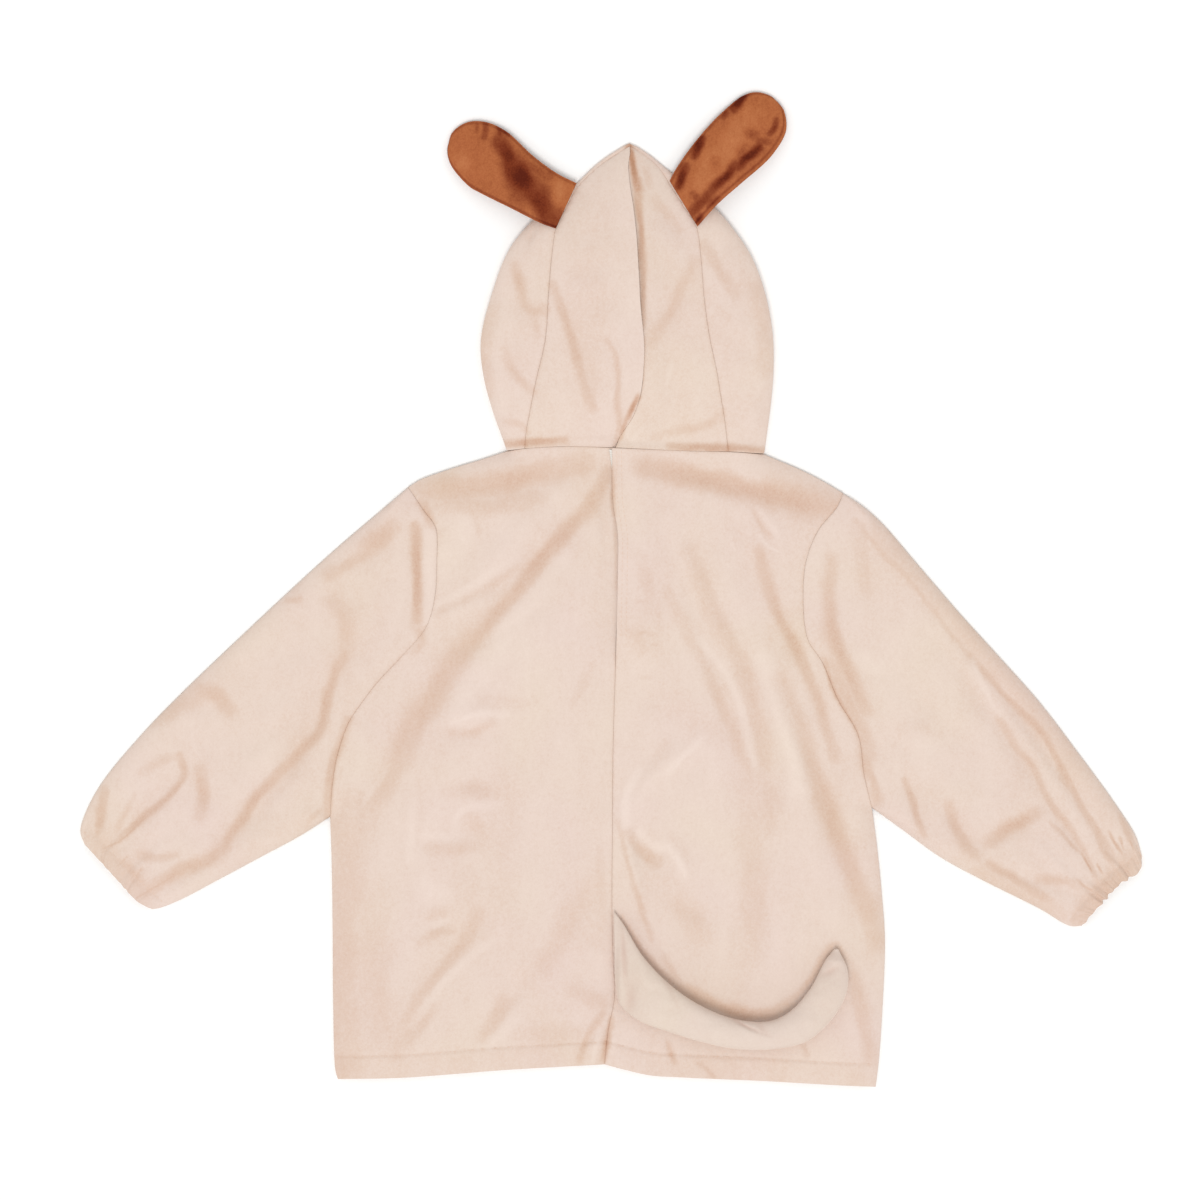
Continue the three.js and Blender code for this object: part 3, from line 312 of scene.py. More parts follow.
SLEEVE_CREASES = [
    ["left hollow on top", [[-336, -86], [-326, -92], [-312, -98]], -1.0, 9],
    ["left hollow below", [[-334, -146], [-328, -164], [-322, -178]], -0.8, 8],
    ["left cuff fold, first", [[-403, -168], [-409, -184], [-414, -198]], -0.9, 4],
    ["left cuff fold, second", [[-360, -196], [-376, -212], [-392, -226]], -0.9, 5],
    ["left cuff fold, third", [[-346, -218], [-362, -232], [-378, -242]], 0.8, 5],
    ["left head, second", [[-166, 46], [-167, 8], [-172, -30]], 0.8, 5],
    ["left mid", [[-236, -70], [-260, -104], [-290, -130]], -0.7, 7],
    ["right top ridge", [[228, 26], [282, -36], [330, -92]], 0.9, 8],
    ["right inner crease", [[226, -60], [268, -110], [310, -150]], -0.8, 9],
    ["right inner ridge", [[214, -70], [246, -124], [282, -166]], 0.8, 9],
    ["right cuff fold, first", [[352, -176], [372, -204], [392, -230]], -1.0, 5],
    ["right cuff fold, second", [[340, -204], [362, -226], [384, -244]], 0.9, 5],
    ["right head, second", [[182, 30], [184, -30], [196, -92]], 0.8, 7],
]
HOOD_FOLDS = [
    ["left diagonal", [[-47, 248], [-27, 200], [-11, 144]], -2, 9],
    ["right diagonal", [[66, 258], [44, 218], [31, 192]], -1.6, 9],
    ["below the right ear", [[38, 308], [50, 292], [62, 280]], -1.4, 8],
    ["left side hollow", [[-78, 258], [-74, 236], [-62, 216]], -1.8, 9],
]
HOOD_CREASES = [
    ["beside the lap", [[-2, 190], [4, 176], [4.5, 148]], -1.3, 3],
    ["to the neck", [[4.5, 150], [3.5, 132], [2, 118]], -1.2, 3],
    ["ridge beside it", [[10, 196], [12, 176], [12, 152]], 0.9, 5],
    ["under the left ear, first", [[-61, 289], [-65, 282], [-67, 276]], -1.1, 3],
    ["under the left ear, second", [[-59, 276], [-57, 266], [-56, 258]], -1.1, 3],
    ["under the left ear, third", [[-52, 286], [-54, 276], [-53, 268]], 0.9, 3],
    ["left side, low", [[-84, 196], [-76, 176], [-70, 158]], -0.8, 6],
    ["right side, high", [[72, 284], [80, 272], [88, 258]], -0.7, 5],
    ["right neck", [[34, 124], [60, 126], [88, 132]], -0.8, 6],
    ["left neck", [[-64, 124], [-40, 120], [-16, 121]], -0.7, 6],
    ["low left diagonal", [[-30, 190], [-22, 160], [-12, 142]], 0.8, 5],
]
# Tone strokes on the pile: name, path of x, y points, tone, half width. They paint the pile's own
# patches, where wear and pressing turned it, together with painted shade in valleys and creases, under
# the shoulders, in the neck opening, at the neck seam and along the tail, and painted highlights on
# ridges. A tone above 0 is darker and pinker, and one below 0 is lighter.
BODY_NAP_AND_SHADE = [
    # Painted shadow in the slit of the neck opening
    ["slit of the opening", [[-0.4, 98], [0.4, 82], [1.6, 60]], 1.1, 2.2],
    ["slit, lower", [[2, 62], [3, 30], [3, 0]], 0.5, 1.5],
    # Painted shade under the left shoulder, where the cloth slopes away from the lamp
    ["left, below the shoulder", [[-149.6, 80], [-105.6, 84], [-57.6, 94], [-24, 100]], 0.85, 10.5],
    ["left, second below it", [[-137.6, 69.6], [-97.6, 66], [-60, 74.4]], 0.5, 8],
    ["left, crease from the shoulder", [[-116, 80], [-111, 64], [-107, 46]], 0.5, 2.5],
    ["left long streak", [
        [-3, 94], [-19, 66], [-38, 46], [-54, 27], [-70, 6], [-87, -14], [-110, -40],
    ], 1, 7],
    ["left long streak, lower", [
        [-110, -40], [-130, -62], [-144, -88], [-160, -110], [-170, -136],
    ], 0.7, 11],
    ["left long streak, end", [[-170, -132], [-182, -156], [-194, -172]], 0.6, 9],
    ["left, light under the streak", [[-42, 24], [-90, -40], [-126, -100]], -0.4, 10],
    ["left, light over the streak", [[-118, 48], [-138, 16]], -0.3, 12],
    ["left light line", [[-128, -106], [-106, -99], [-84, -100]], -0.6, 2.5],
    ["left, dark below that line", [[-128, -114], [-112, -114], [-96, -106]], 0.5, 4],
    ["left, dark above that line", [[-107, -88], [-66, -90]], 0.3, 7],
    ["left, beside the seam", [[-16, -62], [-32, -92]], 0.3, 4],
    ["left, light beside the end", [[-179, -142], [-197, -168]], -0.4, 2.5],
    ["left side", [[-206, -168], [-214, -248], [-214, -328], [-218, -384]], 0.6, 15],
    ["left side, inner", [[-190, -248], [-194, -312], [-178, -360]], 0.4, 18],
    ["left hollow, upper edge", [[-128, -162], [-114, -158], [-96, -165]], 0.45, 7],
    ["left hollow, light arc", [[-126, -192], [-122, -178], [-90, -170]], -0.5, 3.5],
    ["left hollow, inside", [[-112, -180], [-104, -196]], 0.35, 6],
    ["left hollow, light strip", [[-150, -198], [-122, -196]], -0.4, 3.5],
    ["left hollow, lower edge", [[-147, -206], [-126, -208], [-106, -204]], 0.45, 5],
    ["left, light beside the hollow", [[-160, -168], [-162, -216]], -0.4, 4],
    ["left, light below the hollow", [[-150, -236], [-134, -244]], -0.4, 9],
    ["left low mark, first", [[-150, -260], [-135, -258]], 0.4, 4],
    ["left low mark, light", [[-144, -269], [-130, -264]], -0.5, 2.5],
    ["left low mark, second", [[-154, -282], [-140, -274], [-128, -273]], 0.5, 4],
    ["left slant", [[-106, -260], [-126, -292], [-146, -316], [-167, -348]], 0.6, 6],
    ["left slant, light side", [[-94, -280], [-130, -308], [-160, -350]], -0.45, 3.5],
    ["left slant, end", [[-146, -336], [-163, -360]], 0.6, 8],
    ["left, above the hem", [[-86, -330], [-103, -358]], 0.6, 7],
    ["left, light above the hem", [[-78, -344], [-98, -364]], -0.4, 5],
    ["seam slant, dark", [[-18, -232], [-42, -280], [-54, -300]], 0.3, 9],
    ["seam, long shade", [[-10, -208], [-9, -272]], 0.3, 4],
    ["seam, shade across", [[-30, -320], [-6, -332]], 0.4, 7],
    ["hem, left of the seam", [[-74, -356], [-10, -356]], 0.35, 8],
    ["fan below the seam, outer", [[-7, -338], [-18, -354], [-26, -376]], 0.8, 3.5],
    ["fan below the seam, inner", [[0, -344], [-7, -376]], 1, 3],
    ["fan, light between", [[-10, -352], [-16, -378]], -0.5, 2],
    ["fan, light above", [[-13, -292], [-6, -316]], -0.4, 7],
    # Painted shade under the right shoulder and at its armhole, where the cloth slopes away from the lamp
    ["right, below the shoulder", [[26, 98], [66, 90], [112, 80], [178, 65]], 1.05, 10],
    ["right, at the armhole", [[110, 80], [150, 72], [184, 64]], 0.8, 13],
    ["right, crease from the shoulder", [[112, 64], [120, 50], [128, 42]], 0.5, 2],
    ["right, light beside the crease", [[116, 66], [133, 44]], -0.3, 2],
    ["right outer arc", [[117, 32], [130, -12], [150, -52], [166, -92], [178, -134]], 0.9, 5.4],
    ["right middle arc", [[62, 32], [80, -16], [104, -62], [122, -136]], 0.5, 8],
    ["right inner arc", [[45, 0], [66, -44], [86, -90], [109, -144]], 0.5, 5.5],
    ["right inner arc, end", [[83, -84], [101, -124]], 0.4, 5],
    ["right long arc", [
        [133, -74], [144, -100], [160, -140], [178, -192], [200, -244], [211, -280],
    ], 0.8, 9],
    ["right, light between arcs", [[70, -40], [93, -70], [106, -104], [114, -140]], -0.5, 3],
    ["right, light inside the long arc", [[122, -56], [138, -104], [150, -160]], -0.5, 8],
    ["right, soft cross shade", [[42, -88], [82, -116]], 0.25, 13],
    ["right light ridge", [[72, -118], [45, -146]], -0.5, 3],
    ["right, under that ridge", [[45, -120], [34, -142]], 0.35, 6],
    ["right light arc at the seam", [[22, -144], [12, -164], [11, -188]], -0.6, 3.5],
    ["line down to the tail", [[5, -184], [14, -224], [25, -260], [32, -280]], 0.7, 2.5],
    ["pocket", [[12, -194], [22, -208], [36, -218]], 0.7, 5],
    ["light ridge over the pocket", [[22, -194], [36, -206], [46, -206], [59, -229]], -0.6, 3],
    ["beside the pocket", [[49, -198], [62, -218]], 0.3, 5],
    ["above the tail, far", [[54, -252], [70, -274]], 0.45, 10],
    ["right, down the middle", [[109, -152], [112, -224], [118, -288]], 0.3, 12],
    ["right, short of it", [[126, -160], [125, -192]], 0.3, 6],
    ["above the tail", [[42, -294], [57, -322]], 0.7, 4],
    # Painted shadow along the tail's upper edge
    ["along the tail, upper", [[8, -262], [24, -288], [45, -310], [71, -327], [97, -338]], 0.9, 3],
    ["along the tail, middle", [[60, -320], [97, -337], [124, -339], [141, -331]], 1.2, 5],
    ["along the tail, end", [[138, -333], [158, -313], [170, -292], [178, -283], [188, -296]], 0.9, 3],
    ["left fan, dark", [[-143, -20], [-110, -4], [-74, 18]], 0.3, 3],
    ["left fan, light", [[-143, -13], [-112, 4], [-78, 25]], -0.3, 3],
    ["below the tail's tip", [[193, -308], [200, -336], [206, -372]], 0.8, 7],
    ["right hem, first", [[45, -362], [50, -378]], 0.9, 2.5],
    ["right hem, second", [[70, -378], [82, -390]], 0.5, 2],
    ["right hem, third", [[152, -362], [157, -373]], 0.7, 2.5],
    ["dash by the opening, first", [[20, -8], [29, -11]], 0.5, 1.4],
    ["dash by the opening, second", [[26, -19], [38, -18]], 0.4, 1.4],
    ["dash by the opening, third", [[19, -33], [33, -36]], 0.5, 1.4],
    ["dash by the opening, fourth", [[28, -46], [36, -43]], 0.4, 1.3],
    ["dash by the opening, fifth", [[22, -70], [34, -68]], 0.35, 1.3],
    ["light dash at the outer arc", [[118, 44], [124, 36], [132, 31]], -0.7, 1.3],
    ["light dash above the long streak", [[-122, 44], [-116, 38]], -0.5, 1.6],
    ["crushed by the opening, upper", [[20, 28], [28, 6], [32, -16]], 0.4, 6],
    ["crushed by the opening, lower", [[16, -32], [24, -48]], 0.4, 5],
]
SLEEVE_NAP_AND_SHADE = [
    ["left head, patch", [[-152, 70], [-148, 62], [-145, 52]], 0.9, 5],
    ["left head, trough", [[-157, 52], [-156.6, 30], [-156, 10], [-156, -24]], 1.3, 4.2],
    ["left head, light strip", [[-147, 46], [-146, 10], [-147, -24]], -0.4, 4],
    ["left overlap, inside", [[-158, -28], [-152, -40], [-158, -50]], 0.6, 4],
    ["left underarm", [[-210, -104], [-216, -120], [-223, -136], [-227, -160], [-228, -180]], 0.9, 4],
    ["left underarm, on the sleeve", [[-242, -184], [-230, -174]], 0.5, 3],
    ["left underarm, on the body", [[-212, -168], [-204, -176], [-196, -184]], 0.4, 4],
    ["left shoulder patch", [[-198, 34], [-184, 42], [-176, 50]], 0.9, 8],
    ["left shoulder, tail of it", [[-226, 12], [-206, 24], [-190, 34]], 0.7, 6],
    ["left upper edge, mark", [[-260, -8], [-250, -8]], 0.8, 3],
    ["left, grainy", [[-222, -10], [-214, -24], [-212, -46]], 0.5, 8],
    ["left long crease, upper", [
        [-215, -52], [-224, -72], [-230, -96], [-235, -116], [-246, -126], [-258, -138],
    ], 0.95, 5],
    ["left long crease, middle", [
        [-256, -136], [-274, -154], [-286, -168], [-294, -180], [-304, -194], [-312, -208],
    ], 0.95, 4.5],
    ["left long crease, lower", [
        [-310, -206], [-326, -218], [-342, -222], [-358, -232], [-374, -242],
    ], 0.9, 6],
    ["left long crease, sharp part", [[-246, -126], [-274, -154], [-294, -180]], 0.5, 2],
    ["left, dark by the upper edge", [[-330, -80], [-316, -84], [-306, -96]], 0.9, 7],
    ["left, along the upper edge", [[-364, -104], [-344, -92], [-330, -84]], 0.6, 8],
    ["left cuff loop", [[-378, -146], [-360, -136], [-346, -132]], 0.5, 4],
    ["left cuff crease", [
        [-346, -132], [-342, -148], [-350, -160], [-362, -172], [-378, -184], [-394, -200],
    ], 1, 3.5],
    ["left blotch", [[-329, -146], [-326, -160], [-330, -180]], 0.8, 6],
    ["left cuff, first", [[-406, -160], [-408, -176], [-412, -196]], 0.9, 3.5],
    ["left cuff, second", [[-382, -164], [-390, -180], [-396, -192]], 0.5, 3],
    ["left cuff, third", [[-378, -212], [-364, -214], [-350, -212]], 0.7, 4],
    ["left cuff, fourth", [[-394, -216], [-384, -226], [-376, -236]], 0.8, 5],
    ["left cuff, all of it", [[-414, -200], [-396, -222], [-376, -244]], 0.5, 13],
    # Painted shadow of the body's edge on the right sleeve
    ["right overlap, beside it", [[177, -60], [185, -84], [197, -108], [206, -132]], 0.7, 7],
    ["right overlap", [[170, -56], [176, -76], [184, -92], [194, -108], [198, -116]], 1, 2.5],
    ["right underarm", [[200, -128], [205, -144], [210, -156], [213, -168]], 0.9, 5],
    ["right head, trough", [[176, 24], [174, -8], [179, -40], [189, -64], [195, -80], [203, -96]], 0.9, 6.5],
    ["right head, second", [[198, 48], [200, 24], [203, 0]], 0.4, 7],
    ["right upper band", [[214, 48], [254, 0], [298, -48], [342, -100], [370, -140], [398, -180]], 0.4, 12],
    ["right crest line, upper", [
        [194, 56], [214, 32], [234, 12], [254, -12], [270, -34], [284, -50],
    ], 0.6, 3],
    ["right crest line, lower", [
        [286, -52], [318, -88], [346, -116], [360, -144], [382, -184], [394, -204], [402, -216],
    ], 0.9, 3.5],
    ["right second crease", [
        [310, -104], [326, -130], [336, -140], [349, -168], [370, -196], [386, -228], [390, -240],
    ], 0.7, 3],
    ["right, light line", [[288, -56], [298, -80], [310, -100]], -0.5, 2],
    ["right small crease", [[234, -152], [240, -168], [246, -188], [249, -196]], 0.9, 3],
    ["right elbow, upper", [[269, -172], [274, -188], [280, -200], [290, -212]], 0.8, 5],
    ["right elbow, lower", [[302, -220], [318, -228], [334, -240], [350, -248]], 0.9, 4],
    ["right crescent", [[304, -200], [314, -192], [326, -186], [338, -178]], 0.9, 6],
    ["right lower edge", [[294, -226], [330, -246], [362, -260]], 0.5, 8],
    ["right cuff, all of it", [[374, -264], [396, -240], [418, -216]], 0.95, 12],
    ["right cuff, tick, first", [[372, -232], [380, -238], [387, -241]], 1.2, 1.3],
    ["right cuff, tick, second", [[376, -212], [381, -220], [384, -226]], 1.4, 1.4],
    ["right cuff, tick, third", [[388, -219], [392, -227]], 1.2, 1.3],
    ["right cuff, tick, fourth", [[398, -194], [403, -204], [408, -211]], 1.3, 1.3],
    ["right cuff, tick, fifth", [[406, -198], [409, -207]], 1.1, 1.2],
    ["right cuff, tick, sixth", [[414, -198], [417, -208]], 1.2, 1.2],
    ["right cuff, long, first", [[350, -186], [366, -202], [380, -216]], 0.7, 1.6],
    ["right cuff, long, second", [[358, -150], [376, -174], [390, -194], [397, -206]], 0.8, 1.6],
    ["left cuff, line, first", [[-411, -196], [-408, -182], [-403, -161]], 0.9, 1.4],
    ["left cuff, line, second", [[-407, -207], [-396, -202], [-379, -187], [-366, -173]], 1.1, 1.4],
    ["left cuff, line, third", [[-380, -246], [-364, -237], [-348, -227]], 1.1, 1.3],
    ["left cuff, line, fourth", [[-395, -221], [-388, -213]], 1, 1.3],
    ["left cuff, line, fifth", [[-383, -234], [-377, -223]], 1, 1.3],
    ["right cuff, first", [[342, -232], [358, -232], [374, -236]], 0.7, 4],
    ["right cuff, second", [[406, -180], [413, -196], [418, -208]], 0.8, 3],
    ["right cuff, third", [[390, -200], [398, -216], [405, -224]], 0.8, 3],
    ["right, light by the head", [[198, -52], [208, -62], [214, -62]], -0.4, 6],
    ["right, small marks", [[232, -110], [252, -112], [262, -116]], 0.3, 5],
]
HOOD_NAP_AND_SHADE = [
    # Painted shade in the groove beside the lap and in the twist below it
    ["beside the lap, at the peak", [[13, 360], [16.5, 341], [20, 320]], 2.3, 4],
    ["beside the lap, upper", [[18.5, 328], [21.5, 302], [23.5, 280], [24.5, 256]], 1.5, 3.6],
    ["beside the lap, lower", [[24.5, 262], [24.5, 236], [24, 212]], 1.2, 2.6],
    ["to the twist", [[25, 200], [24, 176], [21, 156]], 1, 2],
    ["twist, upper", [[21, 154], [16, 145], [12, 137]], 2, 2.6],
    ["twist, lower", [[12, 138], [9, 130], [6, 121]], 1.4, 2],
    ["left diagonal", [[-47, 244], [-40, 224], [-32, 200], [-26, 176], [-18, 152], [-15, 144]], 0.95, 4.4],
    ["right diagonal", [[66, 262], [54, 240], [48, 224], [40, 212], [32, 196]], 0.5, 5],
    ["left half, all of it", [[-22, 312], [-20, 240], [-22, 168]], 0.2, 25],
    ["below the right ear", [[34, 312], [45, 300], [54, 288]], 0.5, 4.5],
    ["right of the peak", [[27, 336], [30, 324]], 0.5, 3.5],
    ["beside the lap, crease", [
        [-4, 200], [2.4, 188], [4.8, 176], [4.8, 160], [4, 148], [6.4, 136], [3.2, 116],
    ], 0.8, 2.5],
    ["left side, under the ear", [[-78, 260], [-75, 248], [-72, 236]], 0.9, 4.5],
    ["left side, hook of it", [[-72, 232], [-66, 224], [-58, 222], [-54, 224]], 0.7, 4.5],
    ["left side, below the hook", [[-62, 216], [-59, 204]], 0.4, 4],
    ["left side, outline", [[-94, 224], [-101, 208], [-102, 184], [-98, 156]], 0.5, 6],
    ["left side, low diagonal", [[-86, 192], [-80, 176], [-70, 164], [-63, 158]], 0.6, 3.5],
    ["left side, near the neck", [[-86, 136], [-74, 132], [-67, 126]], 0.5, 3],
    # Painted shadow cast by the body's neck edge onto the hood
    ["left wedge at the neck", [[-88, 116], [-70, 118], [-52, 119], [-38, 120]], 1.4, 3.4],
    ["right wedge at the neck", [[46, 115], [72, 114], [98, 113.6], [124, 111]], 1.4, 3.6],
    ["right, above the wedge", [[34, 122], [54, 128], [70, 130], [82, 136], [88, 142]], 0.5, 4],
    ["right, light line", [[44, 164], [47, 180]], -0.4, 1.6],
    ["right, light from the twist", [[16, 120], [26, 132]], -0.3, 2],
    ["right side, under the ear", [[74, 276], [82, 262], [90, 248], [98, 236]], 0.6, 5],
    ["right side, mark", [[86, 224], [94, 216]], 0.3, 3],
    ["right side, outline", [[115, 240], [121, 208], [122, 176]], 0.5, 8],
]
EAR_NAP = [
    ["left band, upper", [[-90.4, 357.6], [-84, 349], [-76.8, 337.6]], 1, 6.5],
    ["left band, middle", [[-80, 342], [-72, 329.6], [-64, 318]], 1.1, 10],
    ["left band, lower", [[-68, 322], [-58, 310], [-48, 294]], 1, 11],
    ["left, beside the band", [[-74, 340], [-62, 336], [-52, 330]], 0.4, 5],
    ["left, small mark, first", [[-108, 372], [-108, 367]], 0.4, 1.6],
    ["left, small mark, second", [[-101, 374], [-101, 368], [-102, 362]], 0.6, 2.5],
    ["left, small mark, third", [[-90, 370], [-90, 360]], 0.7, 2.2],
    ["left, small mark, fourth", [[-89, 368], [-83, 364]], 0.6, 2.2],
    ["left, light near the root", [[-42, 320], [-48, 304]], -0.35, 6],
    ["left, light near the tip", [[-122, 344], [-118, 340]], -0.3, 6],
    ["right, light down its middle", [[72, 328], [92, 352], [112, 378]], -0.3, 11],
    ["right, dark at the upper edge", [[106, 396], [97, 385]], 1.1, 3.6],
    ["right, second at that edge", [[92, 382], [89, 377]], 0.7, 2.5],
    ["right, third at that edge", [[72, 360], [66, 347]], 1.1, 3.4],
    ["right, along the root", [[58, 337], [53, 322]], 1.1, 4],
    ["right, near the tip", [[126, 364], [130, 370], [131, 376]], 0.8, 2.6],
    ["right, crushed, first", [[109, 365], [114, 364]], 0.5, 4],
    ["right, crushed, second", [[118, 358], [125, 358]], 0.5, 3.4],
    ["right streak, upper", [[118, 354], [112, 348], [106, 344], [101, 338]], 1.15, 3.6],
    ["right streak, lower", [[98, 340], [93, 332], [86, 326], [80, 320]], 1.15, 4.2],
    ["right streak, end", [[80, 320], [74, 312], [68, 306], [62, 300]], 0.8, 3.8],
    ["right, beside the streak", [[104, 352], [102, 346]], 0.5, 5],
    ["right, faint patch", [[83, 336], [82, 344]], 0.4, 4],
    ["right, near the rolled edge", [[82, 312], [77, 308]], 0.5, 4],
    ["right, near the root", [[66, 316], [70, 312]], 0.5, 3.5],
    ["right, root's corner", [[70, 298], [68, 294]], 0.9, 3],
]
# The first rows of the hood's tone strokes paint shade in the groove beside the lap, on the right half only
LAP_SHADE_STROKES = 4

FOLD_STEPS = 20
FOLD_SHAPE = {"at_ends": 0.3, "unevenness": 0, "steepness": 2}
STROKE_SHAPE = {"at_ends": 0.7, "unevenness": 0.15, "steepness": 3}
# Painted shade: how much the troughs of folds and creases darken the tone, and their ridges lighten
# it, for troughs of these depths
PAINTED_FOLD_SHADE = 0.2
TROUGHS = {"fold": 2.4, "crease": 1.6}
HEM_TONE = 0.2
# Waves of an uneven surface or edge: height, length and seed, broad ones and then fine ones
UNEVEN = {
    "body": [(0.22, 46, 3), (0.08, 19, 4)],
    "sleeve": [(0.22, 42, 5), (0.08, 18, 6)],
    "hood_centre": [(0.3, 30, 7)],
    "hood_side": [(0.35, 26, 8)],
    "ear": [(0.35, 24, 31), (0.18, 11, 32)],
    "tail": [(0.45, 34, 41), (0.25, 14, 42)],
    "stroke, x": [(0.35, 26, 51), (0.2, 9, 52)],
    "stroke, y": [(0.35, 26, 53), (0.2, 9, 54)],
    "stroke, width": [(1, 38, 55)],
}
# Sewn lines: how deep they lie, or how much they darken the pile, and their half width
SEWN_LINES = {
    "body groove": (0.28, 1.7),
    "hem groove": (0.35, 1.3),
    "hood groove": (0.15, 2.0),
    "casing groove": (1, 2.6),
    "ear's upper edge": (0.4, 1.0),
    "ear's lower edge": (0.5, 1.0),
    "seam tone": (0.36, 1.5),
    "centre seam tone": (0.4, 1.4),
    "hem tone": (0.2, 1.5),
}
# Puckers that stitches draw up beside a seam: pitch, height, reach and seed
PUCKERS = {
    "centre": (8, 0.22, 5, 11),
    "armhole": (9, 0.24, 6, 12),
    "neck": (9, 0.25, 7, 13),
    "hem": (11, 0.28, 8, 14),
    "hood": (8, 0.26, 5, 21),
}
BODY = {
    "rise": 5.4, "roll": 9, "settle": 2, "settle_from": 25, "settle_over": 55, "hem": 22, "hem_share": 0.3,
    "neck_rise": 2.6, "neck_over": 20, "softness": math.sqrt(0.2),
}
# Points across and down each piece's grid, and how two edges that follow each other share them
GRIDS = {
    "back": (140, 250), "front": (64, 80), "tape": (12, 90), "hood_centre": (60, 210),
    "sleeve": (184, 150, 42), "hood_side": (46, 12, 16, 200), "ear": (104, 130), "tail": (112, 180),
}
PARTS = {"armhole": 20, "side": 12, "neck": 10, "shoulder": 8}
# Roundness of a stuffed form's edge: below 1 fuller than an ellipse
ROUNDNESS = {"ear": 0.6, "tail": 0.8}
# Strength of the pile's blotches and clumps, and what a full tone stroke of nap and painted shade takes from
# it
BLOTCHES = 0.78
BLOTCHES_LOST_TO_SHADE = 0.22
NAP_SHIFT = 1.7
SLEEVE = {
    "blend": 0.16, "edge": 16, "edge_at_seam": 1.5, "floor_edge": 6, "seam_drop": 0.6, "wall_left": 1.2,
    "cuff_fall": 2.5, "clearance": 0.4, "softness": 0.6,
}


def smooth(value, low, high):
    t = np.clip((np.asarray(value, float) - low) / (high - low), 0, 1)
    return t * t * (3 - 2 * t)


def mix(a, b, t):
    return a + (b - a) * t


# Centripetal Catmull-Rom curve through the rows, as dense points
def curve_points(rows, per_span=40):
    points = np.array([list(row) + [0] * (3 - len(row)) for row in rows], float)
    ends = np.vstack([2 * points[0] - points[1], points, 2 * points[-1] - points[-2]])
    out = []
    for k in range(len(points) - 1):
        p0, p1, p2, p3 = ends[k:k + 4]
        d0, d1, d2 = (np.linalg.norm(b - a) ** 0.5 for a, b in ((p0, p1), (p1, p2), (p2, p3)))
        m1 = ((p1 - p0) / d0 - (p2 - p0) / (d0 + d1) + (p2 - p1) / d1) * d1
        m2 = ((p2 - p1) / d1 - (p3 - p1) / (d1 + d2) + (p3 - p2) / d2) * d1
        t = np.linspace(0, 1, per_span, endpoint=False)[:, None]
        bend = -3 * p1 + 3 * p2 - 2 * m1 - m2
        twist = 2 * p1 - 2 * p2 + m1 + m2
        out.append(p1 + m1 * t + bend * t**2 + twist * t**3)
    return np.vstack(out + [points[-1][None]])


# The same curve with each point's share of the length
def measured(rows):
    points = curve_points(rows)
    steps = np.linalg.norm(np.diff(points, axis=0), axis=1)
    length = np.concatenate([[0], np.cumsum(steps)])
    return length / length[-1], points


def at(curve, shares):
    lengths, points = curve
    return np.stack([np.interp(shares, lengths, points[:, k]) for k in range(3)], -1)


def spaced(rows, count):
    return at(measured(rows), np.linspace(0, 1, count + 1))


# Points by share of the table's rows, so that curves with the same rows stay in step
def by_rows(rows, shares):
    points = curve_points(rows)
    even = np.linspace(0, 1, len(points))
    return np.stack([np.interp(shares, even, points[:, k]) for k in range(3)], -1)


# Points along two curves that follow each other, each covering its part of the shares
def two_curves(first, first_parts, second, second_parts, shares):
    joint = first_parts / (first_parts + second_parts)
    on_first = at(measured(first), np.clip(shares / joint, 0, 1))
    on_second = at(measured(second), np.clip((shares - joint) / (1 - joint), 0, 1))
    return np.where((shares <= joint)[:, None], on_first, on_second)


# Shares from 0 to 1 that lie closer together at both ends
def edge_shares(count, rounding=0.7):
    even = np.linspace(0, 1, count + 1)
    return mix(even, 0.5 - 0.5 * np.cos(np.pi * even), rounding)


def distance_to(lines, x, y):
    best = np.full(np.shape(x), np.inf)
    for line in lines:
        for a, b in zip(line[:-1], line[1:]):
            run = b[:2] - a[:2]
            t = np.clip(((x - a[0]) * run[0] + (y - a[1]) * run[1]) / (run @ run), 0, 1)
            best = np.minimum(best, np.hypot(x - a[0] - t * run[0], y - a[1] - t * run[1]))
    return best


# Height of all folds at points: each falls off across its path and towards the path's ends
def fold_height(folds, x, y, shape=FOLD_SHAPE):
    total = np.zeros(np.shape(x))
    for _, path, height, width in folds:
        points = spaced(path, FOLD_STEPS)[:, :2]
        reach = 3 * width
        low, high = points.min(0) - reach, points.max(0) + reach
        near = (x > low[0]) & (x < high[0]) & (y > low[1]) & (y < high[1])
        if not near.any():
            continue
        nx, ny = x[near], y[near]
        best = np.full(nx.shape, np.inf)
        nearest = np.zeros(nx.shape)
        for k in range(FOLD_STEPS):
            run = points[k + 1] - points[k]
            t = np.clip(((nx - points[k][0]) * run[0] + (ny - points[k][1]) * run[1]) / (run @ run), 0, 1)
            d = np.hypot(nx - points[k][0] - t * run[0], ny - points[k][1] - t * run[1])
            nearest = np.where(d < best, k + t, nearest)
            best = np.minimum(best, d)
        ends = mix(shape["at_ends"], 1, np.sin(np.pi * nearest / FOLD_STEPS))
        local_width = width * (1 + shape["unevenness"] * uneven("stroke, width", nx, ny))
        total[near] += height * ends * np.exp(-((best / local_width) ** shape["steepness"]))
    return total


# Soft uneven waves that don't repeat, from a few bent sines in seeded directions
def ripples(x, y, length, seed, count=8):
    random = np.random.default_rng(seed)
    total = np.zeros(np.shape(x))
    for _ in range(count):
        angle = random.uniform(0, 2 * math.pi)
        rate = 2 * math.pi / (length * random.uniform(0.7, 1.5))
        phase = random.uniform(0, 2 * math.pi)
        bend = 0.9 * np.sin((x * math.sin(angle) - y * math.cos(angle)) * rate * 0.6 + phase * 3)
        total += np.sin((x * math.cos(angle) + y * math.sin(angle)) * rate + phase + bend)
    return total / math.sqrt(count)


